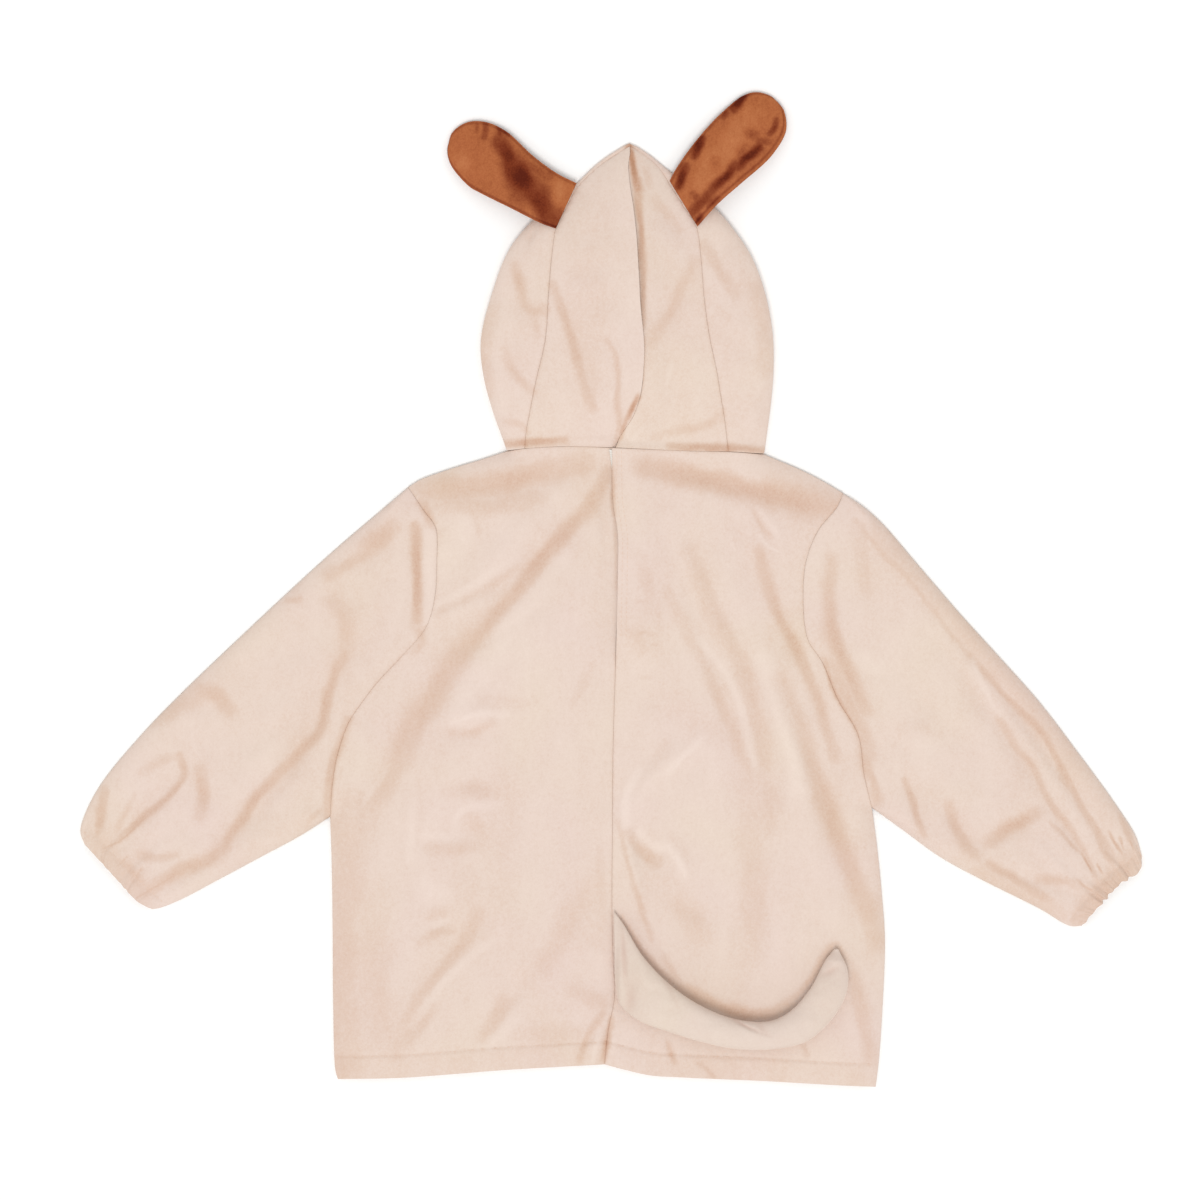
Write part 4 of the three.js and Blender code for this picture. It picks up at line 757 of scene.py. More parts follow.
def uneven(kind, x, y):
    return sum(height * ripples(x, y, length, seed) for height, length, seed in UNEVEN[kind])


# The small regular puckers that stitches draw up beside a seam
def puckers(seam, along, away):
    pitch, height, reach, seed = PUCKERS[seam]
    still = np.zeros(np.shape(along))
    wave = np.sin(2 * np.pi * along / pitch + 1.5 * ripples(along, still, 34, seed, 4))
    strength = 0.6 + 0.4 * ripples(along, still, 60, seed + 1, 3)
    return height * wave * strength * np.exp(-away / reach)


# 1 on a line, falling off to both sides over a half width
def bell(distance, half_width):
    return np.exp(-((distance / half_width) ** 2))


def sewn_line(kind, distance):
    strength, half_width = SEWN_LINES[kind]
    return strength * bell(distance, half_width)


# A height that levels out above 0 where it would fall below it
def above_zero(height, softness):
    return 0.5 * (height + np.hypot(height, softness))


def edge_lines(names, count):
    return [spaced(EDGES[side][name], count) for name in names for side in EDGES]


ROLLED_EDGES = edge_lines(["shoulder", "side"], 40)
ARMHOLES = edge_lines(["armhole"], 40)
HEMS = edge_lines(["hem"], 30)
NECKS = edge_lines(["neck"], 20)
CENTRE_LINE = spaced(CENTRE_BACK, 120)


def centre_x(y):
    return np.interp(-np.asarray(y, float), -CENTRE_LINE[:, 1], CENTRE_LINE[:, 0])


# 0 beside the neck opening and 1 where the seam below it is closed
def below_opening(y):
    return smooth(-y, OPENING_END, SEAM_CLOSED)


# 1 inside the turned hem, 0 above its stitches
def in_hem(from_stitches):
    return 1 - smooth(from_stitches, -1, 1)


# Finer forms than the model has: creases, the sunk seams and the hem's stitched line
def body_detail(x, y, hem_distance):
    from_stitches = hem_distance - HEM_DEPTH
    detail = fold_height(BODY_CREASES, x, y) + uneven("body", x, y)
    detail -= sewn_line("body groove", distance_to(ARMHOLES + NECKS, x, y))
    detail -= sewn_line("body groove", x - centre_x(y)) * below_opening(y)
    return detail + HEM_STEP * in_hem(from_stitches) - sewn_line("hem groove", from_stitches)


def body_height(x, y):
    edge = distance_to(ROLLED_EDGES, x, y)
    hem_distance = distance_to(HEMS, x, y)
    roll = 1 - np.exp(-edge / BODY["roll"])
    inside = np.maximum(0, edge - BODY["settle_from"])
    settle = BODY["settle"] * (1 - np.exp(-inside / BODY["settle_over"]))
    hem = mix(BODY["hem_share"], 1, 1 - np.exp(-hem_distance / BODY["hem"]))
    neck = BODY["neck_rise"] * np.exp(-distance_to(NECKS, x, y) / BODY["neck_over"])
    folds = fold_height(BODY_FOLDS, x, y) + body_detail(x, y, hem_distance)
    loft = (BODY["rise"] * roll - settle) * hem + (neck + folds) * roll
    return UPPER_LAYER_LOW + above_zero(loft, BODY["softness"])


# The right half laps over the left one at the neck opening
def right_height(x, y):
    along = smooth(y, NECK_LAP["fade_to"], NECK_LAP["to"])
    across = 1 - smooth(x - centre_x(y), NECK_LAP["width"] + 2, NECK_LAP["width"] + NECK_LAP["spread"])
    return body_height(x, y) + LAP_RAISE * along * across


HEIGHTS = {"left": body_height, "right": right_height}


# A grid of points between four edges: top and bottom at shares a, left and right at shares b
def patch(top, bottom, left, right, a, b):
    a = a[None, :, None]
    b = b[:, None, None]
    ruled = (1 - b) * top[None] + b * bottom[None] + (1 - a) * left[:, None] + a * right[:, None]
    upper_corners = (1 - a) * (1 - b) * top[0] + a * (1 - b) * top[-1]
    return ruled - upper_corners - (1 - a) * b * bottom[0] - a * b * bottom[-1]


def unit(vectors):
    return vectors / np.maximum(np.linalg.norm(vectors, axis=-1, keepdims=True), 1e-9)


# Normals of a grid. On its two long edges they don't lean over the seam.
def grid_normals(grid):
    across = np.gradient(grid, axis=1)
    down = np.gradient(grid, axis=0)
    normals = np.cross(across, down)
    for column in (0, -1):
        edge = down[:, column]
        away = unit(np.stack([edge[:, 1], -edge[:, 0], 0 * edge[:, 0]], -1))
        normals[:, column] -= away * (normals[:, column] * away).sum(-1, keepdims=True)
    normals = unit(normals)
    return normals * np.sign(normals[len(grid) // 2, 0, 2])


# Distances across and down a grid
def grid_lengths(grid):
    across = np.linalg.norm(np.diff(grid, axis=1), axis=2)
    down = np.linalg.norm(np.diff(grid, axis=0), axis=2)
    u = np.concatenate([np.zeros((len(grid), 1)), np.cumsum(across, axis=1)], axis=1)
    v = np.concatenate([np.zeros((1, grid.shape[1])), np.cumsum(down, axis=0)], axis=0)
    return u, v


def volume_of(points, faces):
    a, b, c, d = (points[faces[:, k]] for k in range(4))
    return (a * np.cross(b, c)).sum() + (a * np.cross(c, d)).sum()


def in_scene(name, data):
    thing = bpy.data.objects.new(name, data)
    bpy.context.scene.collection.objects.link(thing)
    return thing


# A mesh of quads in millimetres, its normals outward, with the pile's tone at each point: nap and painted
# shade together
def make_piece(name, points, faces, shade, material):
    if volume_of(points, faces) < 0:
        faces = faces[:, ::-1]
    rows = [row if row[2] != row[3] else row[:3] for row in faces.tolist()]
    rows = [row[1:] if row[0] == row[1] else row for row in rows]
    mesh = bpy.data.meshes.new(name)
    mesh.from_pydata((points * MM).tolist(), [], rows)
    attribute = mesh.attributes.new("shade", "FLOAT", "POINT")
    attribute.data.foreach_set("value", np.clip(shade, -1.2, 2.4).astype(np.float32))
    mesh.polygons.foreach_set("use_smooth", [True] * len(mesh.polygons))
    mesh.materials.append(material)
    return in_scene(name, mesh)


def quads_of(index):
    return np.stack([index[:-1, :-1], index[:-1, 1:], index[1:, 1:], index[1:, :-1]], -1).reshape(-1, 4)


# A cloth wall under a grid, its four edges rounded over
def cloth_wall(name, grid, thickness, shade, material):
    normals = grid_normals(grid)
    soft = np.zeros(grid.shape[:2])
    soft[0] = soft[-1] = soft[:, 0] = soft[:, -1] = RIM_SOFTNESS
    outer = grid - normals * (thickness * soft)[..., None]
    inner = grid - normals * (thickness * (1 - soft))[..., None]
    rows, columns = grid.shape[:2]
    count = rows * columns
    index = np.arange(count).reshape(rows, columns)
    quads = quads_of(index)
    rim = np.concatenate([index[0, :-1], index[:-1, -1], index[-1, :0:-1], index[:0:-1, 0]])
    following = np.roll(rim, -1)
    sides = np.stack([following, rim, rim + count, following + count], -1)
    points = np.concatenate([outer.reshape(-1, 3), inner.reshape(-1, 3)])
    faces = np.concatenate([quads, quads[:, ::-1] + count, sides])
    return make_piece(name, points, faces, np.tile(shade.ravel(), 2), material)


# A tube of cloth: an outer and an inner skin of rings, joined at both open ends
def cloth_tube(name, outer, inner, shade, material):
    rows, columns = outer.shape[:2]
    count = rows * columns
    index = np.arange(count).reshape(rows, columns)
    around = np.concatenate([index, index[:, :1]], axis=1)
    quads = quads_of(around)
    first, last = around[0], around[-1]
    start = np.stack([first[1:], first[:-1], first[:-1] + count, first[1:] + count], -1)
    end = np.stack([last[:-1], last[1:], last[1:] + count, last[:-1] + count], -1)
    points = np.concatenate([outer.reshape(-1, 3), inner.reshape(-1, 3)])
    faces = np.concatenate([quads, quads[:, ::-1] + count, start, end])
    return make_piece(name, points, faces, np.tile(shade.ravel(), 2), material)


# A stuffed form: rings closed by a fan at each end
def stuffed(name, rings, shade, material):
    rows, columns = rings.shape[:2]
    count = rows * columns
    index = np.arange(count).reshape(rows, columns)
    around = np.concatenate([index, index[:, :1]], axis=1)
    first, last = around[0], around[-1]
    points = np.concatenate([rings.reshape(-1, 3), rings[:1].mean(1), rings[-1:].mean(1)])
    pole = np.full(columns, count)
    start = np.stack([first[1:], first[:-1], pole, pole], -1)
    end = np.stack([last[:-1], last[1:], pole + 1, pole + 1], -1)
    faces = np.concatenate([quads_of(around), start, end])
    shades = np.concatenate([shade.ravel(), [shade[0].mean(), shade[-1].mean()]])
    return make_piece(name, points, faces, shades, material)


# Where strokes cross, the strongest dark and the strongest light one show
def stroke_tone(strokes, x, y):
    dark = np.zeros(np.shape(x))
    light = np.zeros(np.shape(x))
    for stroke in strokes:
        tone = fold_height([stroke], x, y, STROKE_SHAPE)
        dark = np.maximum(dark, tone)
        light = np.minimum(light, tone)
    return dark + light


# Tone of the pile: its listed strokes of nap and painted shade, their edges ragged, and a little painted
# shade in the troughs of every fold, with painted highlight on its ridges
def nap_and_painted_shade(strokes, folds, creases, x, y):
    ragged_x = x + uneven("stroke, x", x, y)
    ragged_y = y + uneven("stroke, y", x, y)
    troughs = fold_height(folds, x, y) / TROUGHS["fold"]
    troughs = troughs + fold_height(creases, x, y) / TROUGHS["crease"]
    return stroke_tone(strokes, ragged_x, ragged_y) - PAINTED_FOLD_SHADE * troughs


# Points along two edges that follow each other: the neck and the shoulder, or the armhole and the side
def joined_edges(edges, first, second, shares):
    return two_curves(edges[first], PARTS[first], edges[second], PARTS[second], shares)


def back_panel(side, material):
    edges = dict(EDGES[side])
    is_right = side == "right"
    a, b = (edge_shares(count) for count in GRIDS["back"])
    centre = at(measured(CENTRE_BACK), b)
    lap = 0 * b if is_right else NECK_LAP["width"] * smooth(centre[:, 1], NECK_LAP["to"], NECK_LAP["from"])
    centre = centre + np.stack([OUTWARD[side] * SEAM_SHOWN / 2 + lap, -NECK_LAP["drop"] * lap, 0 * lap], -1)
    if not is_right:
        edges["neck"] = [centre[0, :2].tolist()] + edges["neck"][1:]
    top = joined_edges(edges, "neck", "shoulder", a)
    top[0] = centre[0]
    bottom = at(measured(edges["hem"]), a)
    bottom[0] = centre[-1]
    outer = joined_edges(edges, "armhole", "side", b)
    grid = patch(top, bottom, centre, outer, a, b)
    x, y = grid[..., 0], grid[..., 1]
    grid[..., 2] = HEIGHTS[side](x, y)
    u, v = grid_lengths(grid)
    grid[..., 2] += below_opening(y) * puckers("centre", v[:, :1], u)
    grid[..., 2] += smooth(y, *ARMHOLE_ENDS) * puckers("armhole", v[:, -1:], u[:, -1:] - u)
    grid[..., 2] += puckers("neck", u[:1], v)
    grid[..., 2] += puckers("hem", u[-1:], np.abs(v[-1:] - v - HEM_DEPTH))
    shade = nap_and_painted_shade(BODY_NAP_AND_SHADE + SLEEVE_NAP_AND_SHADE, BODY_FOLDS, BODY_CREASES, x, y)
    shade += sewn_line("seam tone", distance_to(ARMHOLES + NECKS, x, y))
    shade += sewn_line("centre seam tone", x - centre_x(y)) * below_opening(y)
    from_stitches = distance_to(HEMS, x, y) - HEM_DEPTH
    shade += HEM_TONE * in_hem(from_stitches) + sewn_line("hem tone", from_stitches)
    return cloth_wall("back_" + side + "_cloth", grid, WALL, shade, material)


def front_body(material):
    a, b = (edge_shares(count) for count in GRIDS["front"])
    neckline = np.array([[x, y, 0] for x, y in NECKLINE], float)
    left_shoulder = spaced(SHOULDER_LEFT, 20)[::-1] - [0, FRONT_SET_BACK, 0]
    right_shoulder = spaced(SHOULDER_RIGHT, 20) - [0, FRONT_SET_BACK, 0]
    edge = np.concatenate([left_shoulder[:-1], neckline, right_shoulder[1:]])
    steps = np.linalg.norm(np.diff(edge, axis=0), axis=1)
    lengths = np.concatenate([[0], np.cumsum(steps)]) / steps.sum()
    top = at((lengths, edge), a)
    left, right = (joined_edges(EDGES[side], "armhole", "side", b) for side in EDGES)
    hem = np.concatenate([spaced(HEM_LEFT, 40)[::-1], spaced(HEM_RIGHT, 40)[1:]])
    bottom = at((np.linspace(0, 1, len(hem)), hem), a)
    top[0], top[-1] = left[0], right[0]
    bottom[0], bottom[-1] = left[-1], right[-1]
    grid = patch(top, bottom, left, right, a, b)
    grid[..., 2] = WALL
    return cloth_wall("front_body_cloth", grid, WALL, 0 * grid[..., 2], material)


def closure_tape(material):
    left_edge = [[-2.2, 112.4], [0.4, 94], [2.8, 72], [6.6, 44], [6.8, 4]]
    right_edge = [[9.4, 112], [10, 94], [11, 72], [14, 44], [14.2, 4]]
    across, down = GRIDS["tape"]
    a = np.linspace(0, 1, across + 1)
    b = edge_shares(down)
    left, right = at(measured(left_edge), b), at(measured(right_edge), b)
    top = mix(left[0], right[0], a[:, None])
    bottom = mix(left[-1], right[-1], a[:, None])
    grid = patch(top, bottom, left, right, a, b)
    grid[..., 2] = body_height(grid[..., 0], grid[..., 1]) + TAPE_LIFT + TAPE_WALL
    return cloth_wall("closure_tape_woven", grid, TAPE_WALL, 0 * grid[..., 2], material)


# Height of the quarter-round edge, from 0 at the edge to 1 at its width
def round_edge(distance, width):
    left = 1 - np.clip(distance / width, 0, 1)
    return np.sqrt(1 - left * left)


def at_offset(curve, x):
    lengths, points = curve
    return lengths, points + [x, 0, 0]


def first_row_moved(rows, x):
    return [[rows[0][0] + x, rows[0][1]]] + rows[1:]


# A flattened tube between its armhole and cuff, at shares s along it, q across it and t around it
class Sleeve:
    def __init__(self, side):
        self.plan = SLEEVES[side]
        gap = SEAM_SHOWN * OUTWARD[side]
        self.armhole = at_offset(measured(EDGES[side]["armhole"]), gap)
        self.cuff = measured(self.plan["cuff"])
        self.upper = measured(first_row_moved(self.plan["upper"], gap))
        self.lower = measured(first_row_moved(self.plan["lower"], gap))
        self.cuff_line = [spaced(self.plan["cuff"], 24)]

    def point(self, s, q):
        s1, q1 = s[..., None], q[..., None]
        p = at(self.armhole, q) * (1 - s1) + at(self.cuff, q) * s1
        p = p + at(self.upper, s) * (1 - q1) + at(self.lower, s) * q1
        a, b = at(self.armhole, 0.0), at(self.armhole, 1.0)
        c, d = at(self.cuff, 0.0), at(self.cuff, 1.0)
        return p - (a * (1 - q1) + b * q1) * (1 - s1) - (c * (1 - q1) + d * q1) * s1

    # The elastic's gathers: large ones that the model has, with finer uneven ones between
    def gathers(self, q, s, fine):
        plan = self.plan["gathers"]
        strength = smooth(s, 1 - plan["reach"], 1)
        uneven = q + 0.02 * np.sin(11 * q + 0.4) + 0.008 * np.sin(37 * q + 1)
        each = 0.58 + 0.42 * np.sin(19 * q + 2)
        wave = np.sin(2 * np.pi * plan["count"] * uneven) * strength * each
        if not fine:
            return wave
        small = np.sin(2 * np.pi * plan["count"] * 2.37 * uneven + 1.3)
        near_cuff = smooth(s, 1 - 0.55 * plan["reach"], 1)
        return wave + 0.38 * small * near_cuff * (0.7 + 0.3 * np.sin(31 * q))

    def rings(self, s, t, inset):
        is_top = t <= 0.5
        share = np.where(is_top, 2 * t, 2 - 2 * t)
        width = np.linalg.norm(self.point(s, 0 * s) - self.point(s, 0 * s + 1), axis=-1)
        shrink = inset / width
        q = shrink + share * (1 - 2 * shrink)
        point = self.point(s, q)
        x, y = point[..., 0], point[..., 1]
        from_edge = np.minimum(q, 1 - q) * width - inset
        blend = smooth(s, 0, SLEEVE["blend"])
        calm = np.sin(np.pi * np.clip(share, 0, 1)) ** 0.4
        drop = SLEEVE["seam_drop"] * smooth(share, 0.42, 0.55) * (1 - smooth(share, 0.9, 1))
        at_seam = np.maximum(body_height(x, y) - drop, SLEEVE_EDGE_HEIGHT + SLEEVE["wall_left"])
        from_casing = distance_to(self.cuff_line, x, y) - CASING_DEPTH
        casing = self.plan["casing_dip"] * sewn_line("casing groove", from_casing)
        folded = self.plan["crown"] - smooth(s, 0.7, 1) * SLEEVE["cuff_fall"] - casing
        folded += fold_height(SLEEVE_FOLDS, x, y) + fold_height(SLEEVE_CREASES, x, y)
        folded += uneven("sleeve", x, y)
        folded += self.plan["gathers"]["height"] * self.gathers(share, s, True)
        lowest = UPPER_LAYER_LOW + SLEEVE["clearance"]
        on_sleeve = lowest + above_zero(folded - lowest, SLEEVE["softness"])
        crown = mix(at_seam, on_sleeve, blend)
        edge_width = mix(SLEEVE["edge_at_seam"], SLEEVE["edge"], blend)
        rise = crown - inset - SLEEVE_EDGE_HEIGHT
        top = SLEEVE_EDGE_HEIGHT + rise * round_edge(from_edge, edge_width - inset)
        fall = SLEEVE_EDGE_HEIGHT - inset
        under = SLEEVE_EDGE_HEIGHT - fall * round_edge(from_edge, SLEEVE["floor_edge"] - inset)
        point[..., 2] = np.where(is_top, top, under)
        outward = unit(self.point(0 * s + 1, share) - self.point(0 * s + 0.9, share))
        shift = self.plan["gathers"]["shift"] * self.gathers(share, s, False) * calm * smooth(s, 0.9, 1)
        return point + outward * shift[..., None]


SLEEVE_SHAPES = {}


def sleeve(side, material):
    shape = Sleeve(side)
    SLEEVE_SHAPES[side] = shape
    along, over_top, below = GRIDS["sleeve"]
    top = edge_shares(over_top, 0.6) / 2
    under = 0.5 + edge_shares(below, 0.6)[1:-1] / 2
    near_ends = edge_shares(along, 0.5)
    s, t = np.meshgrid(near_ends, np.concatenate([top, under]), indexing="ij")
    outer = shape.rings(s, t, 0)
    inner = shape.rings(s, t, WALL)
    x, y = outer[..., 0], outer[..., 1]
    shade = nap_and_painted_shade(SLEEVE_NAP_AND_SHADE, SLEEVE_FOLDS, SLEEVE_CREASES, x, y)
    shade += sewn_line("seam tone", distance_to(ARMHOLES, x, y))
    return cloth_tube("sleeve_" + side + "_cloth", outer, inner, shade, material)


def hood_rows(side, first, last):
    rows = HOOD_RIGHT if side == "right" else HOOD_LEFT
    return [row[first:last] for row in rows]


def hood_folds(x, y):
    return fold_height(HOOD_FOLDS, x, y) + fold_height(HOOD_CREASES, x, y)


# The hood's neck edge follows the body's neck edge, over the last twentieth of its length
def lowered_to_neck(points, b, side):
    at_neck = HEIGHTS[side](points[..., 0], points[..., 1])
    near_neck = smooth(b, NECK_SHARE, 1)
    points[..., 2] = mix(points[..., 2], at_neck, near_neck)
    points[..., 1] -= NECK_CLOSED * near_neck
    return points


def hood_centre(side, material):
    is_right = side == "right"
    outward = OUTWARD[side]
    a, b = (edge_shares(count) for count in GRIDS["hood_centre"])
    middle = at(measured(HOOD_CENTRE), b)
    middle[:, 0] += outward * (SEAM_SHOWN / 2 + PEAK_GAP * (1 - smooth(20 * b, 0, 2)))
    middle[:, 2] -= outward * HOOD_LAP * np.sin(np.pi * b)
    stepped = smooth(middle[:, 1], STEP_RANGE["begins"], STEP_RANGE["full"])
    stepped = stepped * (1 - smooth(middle[:, 1], STEP_RANGE["until"], STEP_RANGE["ends"]))
    room_below = 2 * HOOD_LAP * np.sin(np.pi * b) + STEP_DOWN * stepped - WALL
    middle[:, 0] -= LAP_SHIFT * stepped
    if is_right:
        middle[:, 0] -= TUCKED_UNDER * smooth(room_below, *TUCK_ROOM)
    middle = lowered_to_neck(middle, b, side)
    seam = by_rows(hood_rows(side, 0, 3), b)
    seam[:, 0] -= outward * SEAM_SHOWN
    seam = lowered_to_neck(seam, b, side)
    neck = [[x, y + 2 * SEAM_SHOWN] for x, y in EDGES[side]["neck"][1:3]]
    bottom = at(measured([middle[-1, :2].tolist()] + neck + [seam[-1, :2].tolist()]), a)
    bottom[:, 2] = HEIGHTS[side](bottom[:, 0], bottom[:, 1])
    bottom[0], bottom[-1] = middle[-1], seam[-1]
    top = mix(middle[0], seam[0], a[:, None])
    grid = patch(top, bottom, middle, seam, a, b)
    x, y = grid[..., 0].copy(), grid[..., 1].copy()
    u, v = grid_lengths(grid)
    calm = 4 * a[None] * (1 - a[None]) * np.sin(np.pi * b[:, None]) ** 0.6
    grid[..., 2] += calm * (HOOD_CROWN + hood_folds(x, y) + uneven("hood_centre", x, y))
    from_seam = u[:, -1:] - u
    grid[..., 2] -= sewn_line("hood groove", from_seam) * smooth(b[:, None], 0, PEAK_FADE)
    grid[..., 2] += puckers("hood", v[:, -1:], from_seam)
    if is_right:
        grid[..., 2] -= STEP_DOWN * stepped[:, None] * bell(u, STEP_WIDTH)
    strokes = HOOD_NAP_AND_SHADE if is_right else HOOD_NAP_AND_SHADE[LAP_SHADE_STROKES:]
    shade = nap_and_painted_shade(strokes, HOOD_FOLDS, HOOD_CREASES, x, y)
    shade += sewn_line("seam tone", from_seam) + sewn_line("seam tone", v[-1:] - v)
    return cloth_wall("hood_centre_" + side + "_cloth", grid, WALL, shade, material)


# The side piece's rows before the first, along the centre piece's top edge to the peak's middle
def with_peak(seam, outline, face, side):
    middle = at(measured(HOOD_CENTRE), 0.0) + [OUTWARD[side] * SEAM_SHOWN / 2, SEAM_SHOWN, 0]
    share = np.linspace(0, 1, PEAK_ROWS + 1)[:-1, None]
    over_middle = [[middle[0], middle[1] + outline[0, 1] - seam[0, 1], outline[0, 2]]]
    below_middle = [[middle[0], face[0, 1], face[0, 2]]]
    seam = np.vstack([mix(middle[None], seam[:1], share), seam])
    outline = np.vstack([mix(np.array(over_middle), outline[:1], share), outline])
    face = np.vstack([mix(np.array(below_middle), face[:1], share), face])
    return seam, outline, face


# The side piece's cloth comes down from the seam, rolls under at the outline and lies on the floor
def hood_side(side, material):
    on_top, round_edge_count, on_floor, down = GRIDS["hood_side"]
    b = edge_shares(down)
    seam = lowered_to_neck(by_rows(hood_rows(side, 0, 3), b), b, side)
    outline = by_rows(hood_rows(side, 3, 5), b)
    outline[:, 1] -= 1.6 * NECK_CLOSED * smooth(b, NECK_SHARE, 1)
    face = by_rows(hood_rows(side, 5, 7), b)
    seam, outline, face = with_peak(seam, outline, face, side)
    b = np.concatenate([np.zeros(PEAK_ROWS), b])
    edge_height = np.maximum(SIDE_EDGE["least"], SIDE_EDGE["share_of_seam"] * seam[:, 2])
    inward = face - outline
    turn = np.minimum(edge_height, np.linalg.norm(inward, axis=1) / 3)
    inward = unit(inward)
    columns = []
    shades = []
    for angle in edge_shares(on_top, 0.4) * math.pi / 2:
        p = mix(seam, outline, math.sin(angle))
        p[:, 2] = mix(edge_height, seam[:, 2], math.cos(angle))
        x, y = p[:, 0], p[:, 1]
        p[:, 2] += (hood_folds(x, y) + uneven("hood_side", x, y)) * math.sin(2 * angle)
        columns.append(p)
        shades.append(nap_and_painted_shade(HOOD_NAP_AND_SHADE, HOOD_FOLDS, HOOD_CREASES, x, y))
    for angle in np.linspace(0, math.pi / 2, round_edge_count + 1)[1:]:
        p = outline + inward * (turn * (1 - math.cos(angle)))[:, None]
        p[:, 2] = edge_height * (1 - math.sin(angle))
        columns.append(p)
        shades.append(0 * b)
    floor_start = columns[-1]
    for share in np.linspace(0, 1, on_floor + 1)[1:]:
        p = mix(floor_start, face, share)
        p[:, 2] = 0
        columns.append(p)
        shades.append(0 * b)
    grid = np.stack(columns, 1)
    u, v = grid_lengths(grid)
    by_seam = np.exp(-u / 5) * smooth(b[:, None], 0, PEAK_FADE)
    grid[..., 2] += by_seam * (puckers("hood", v[:, :1], 0) - sewn_line("hood groove", u))
    shade = np.stack(shades, 1) + sewn_line("seam tone", u)
    return cloth_wall("hood_side_" + side + "_cloth", grid, WALL, shade, material)


# Value between the rows of a table whose first column is a share of the length
def between(table, share, column):
    k = int(np.clip(next(i for i, row in enumerate(table) if row[0] >= share), 1, len(table) - 1))
    low, high = table[k - 1], table[k]
    return mix(low[column], high[column], smooth((share - low[0]) / (high[0] - low[0]), 0, 1))


def in_table(table, shares, column):
    return np.array([between(table, share, column) for share in shares])[:, None]


# Rings of a stuffed form between two outlines, with each point's share across and its side and height
def padded_rings(upper, lower, count, roundness):
    angle = 2 * np.pi * np.arange(count) / count
    q = 0.5 - 0.5 * np.cos(angle)
    rise = np.sign(np.sin(angle)) * np.abs(np.sin(angle)) ** roundness
    rings = upper[:, None] * (1 - q[None, :, None]) + lower[:, None] * q[None, :, None]
    return rings, q, rise, np.maximum(np.sin(angle), 0)[None] ** 0.5


def ear(side, material):
    plan = EARS[side]
    around, along = GRIDS["ear"]
    shares = edge_shares(along)
    upper, lower = at(measured(plan["upper"]), shares), at(measured(plan["lower"]), shares)
    rings, q, rise, _ = padded_rings(upper, lower, around, ROUNDNESS["ear"])
    thickness = in_table(EAR_SECTIONS, shares, 2)
    fall = in_table(EAR_SECTIONS, shares, 1)
    root = mix(plan["root_heights"][0], plan["root_heights"][1], q)[None] + EAR_SEAT + EAR_SECTIONS[0][2] / 2
    middle = np.maximum(thickness / 2 + EAR_SEAT, fall * root)
    x, y = rings[..., 0], rings[..., 1]
    width = np.linalg.norm(upper - lower, axis=1)[:, None]
    from_lower = (1 - q)[None] * width
    from_upper = q[None] * width
    is_top = (rise > 0)[None]
    edge_line = sewn_line("ear's lower edge", from_lower - plan["lower_line"])
    edge_line = edge_line + sewn_line("ear's upper edge", from_upper - EAR_UPPER_LINE)
    calm = np.minimum(1, np.minimum(from_lower, from_upper) / 5)
    on_top = np.where(is_top, uneven("ear", x, y) * calm - edge_line, 0)
    rings[..., 2] = middle + 0.5 * thickness * rise[None] + on_top
    shade = nap_and_painted_shade(EAR_NAP, [], [], x, y) + 0.9 * edge_line
    return stuffed("ear_" + side + "_padded", rings, shade, material)


def tail(material):
    around, along = GRIDS["tail"]
    shares = edge_shares(along)
    upper, lower = at(measured(TAIL_UPPER), shares), at(measured(TAIL_LOWER), shares)
    height = in_table(TAIL_SECTIONS, shares, 1)
    beds = [right_height(*(mix(upper, lower, q)[:, :2].T)) for q in (0, 0.25, 0.5, 0.75, 1)]
    bed = np.max(beds, axis=0)
    bed = np.convolve(np.pad(bed, 4, mode="edge"), np.ones(9) / 9, mode="valid")[:, None] + TAIL_SEAT
    rings, q, rise, top = padded_rings(upper, lower, around, ROUNDNESS["tail"])
    x, y = rings[..., 0], rings[..., 1]
    crease = np.zeros(x.shape)
    for down, across, depth, half_width, slant in TAIL_CREASES:
        line = (shares[:, None] - down - slant * (q[None] - across)) / half_width
        crease += depth * bell(line, 1) * bell(q[None] - across, 0.3)
    on_top = top * (uneven("tail", x, y) - crease)
    rings[..., 2] = bed + TAIL_WALL_LOW + height / 2 + 0.5 * height * rise[None] + on_top
    # The creases' depth is painted into the tail's tone too, as painted shade in them
    return stuffed("tail_padded", rings, crease / DEEPEST_TAIL_CREASE, material)


# A colour written as sRGB hex, in the linear values that Blender takes
def linear(colour):
    parts = [int(colour[k:k + 2], 16) / 255 for k in (1, 3, 5)]
    return [c / 12.92 if c <= 0.04045 else ((c + 0.055) / 1.055) ** 2.4 for c in parts] + [1]


# Adds a node. An input whose value is a socket is linked, and any other value is set.
def add(tree, kind, settings=None, inputs=None):
    node = tree.nodes.new(kind)
    for name, value in (settings or {}).items():
        setattr(node, name, value)
    for name, value in (inputs or {}).items():
        if isinstance(value, bpy.types.NodeSocket):
            tree.links.new(value, node.inputs[name])
        else:
            node.inputs[name].default_value = value
    return node


# A new material, its nodes, its shader and the socket with the place on the piece
def new_material(name):
    material = bpy.data.materials.new(name)
    material.use_nodes = True
    tree = material.node_tree
    place = add(tree, "ShaderNodeTexCoord").outputs["Object"]
    return material, tree, tree.nodes["Principled BSDF"], place


def per_metre(millimetres):
    return 1000 / millimetres


def math_node(tree, operation, *values):
    return add(tree, "ShaderNodeMath", {"operation": operation}, dict(enumerate(values))).outputs[0]


def noise(tree, place, size, detail):
    return add(tree, "ShaderNodeTexNoise", None, {
        "Vector": place, "Scale": per_metre(size), "Detail": detail,
    }).outputs["Fac"]


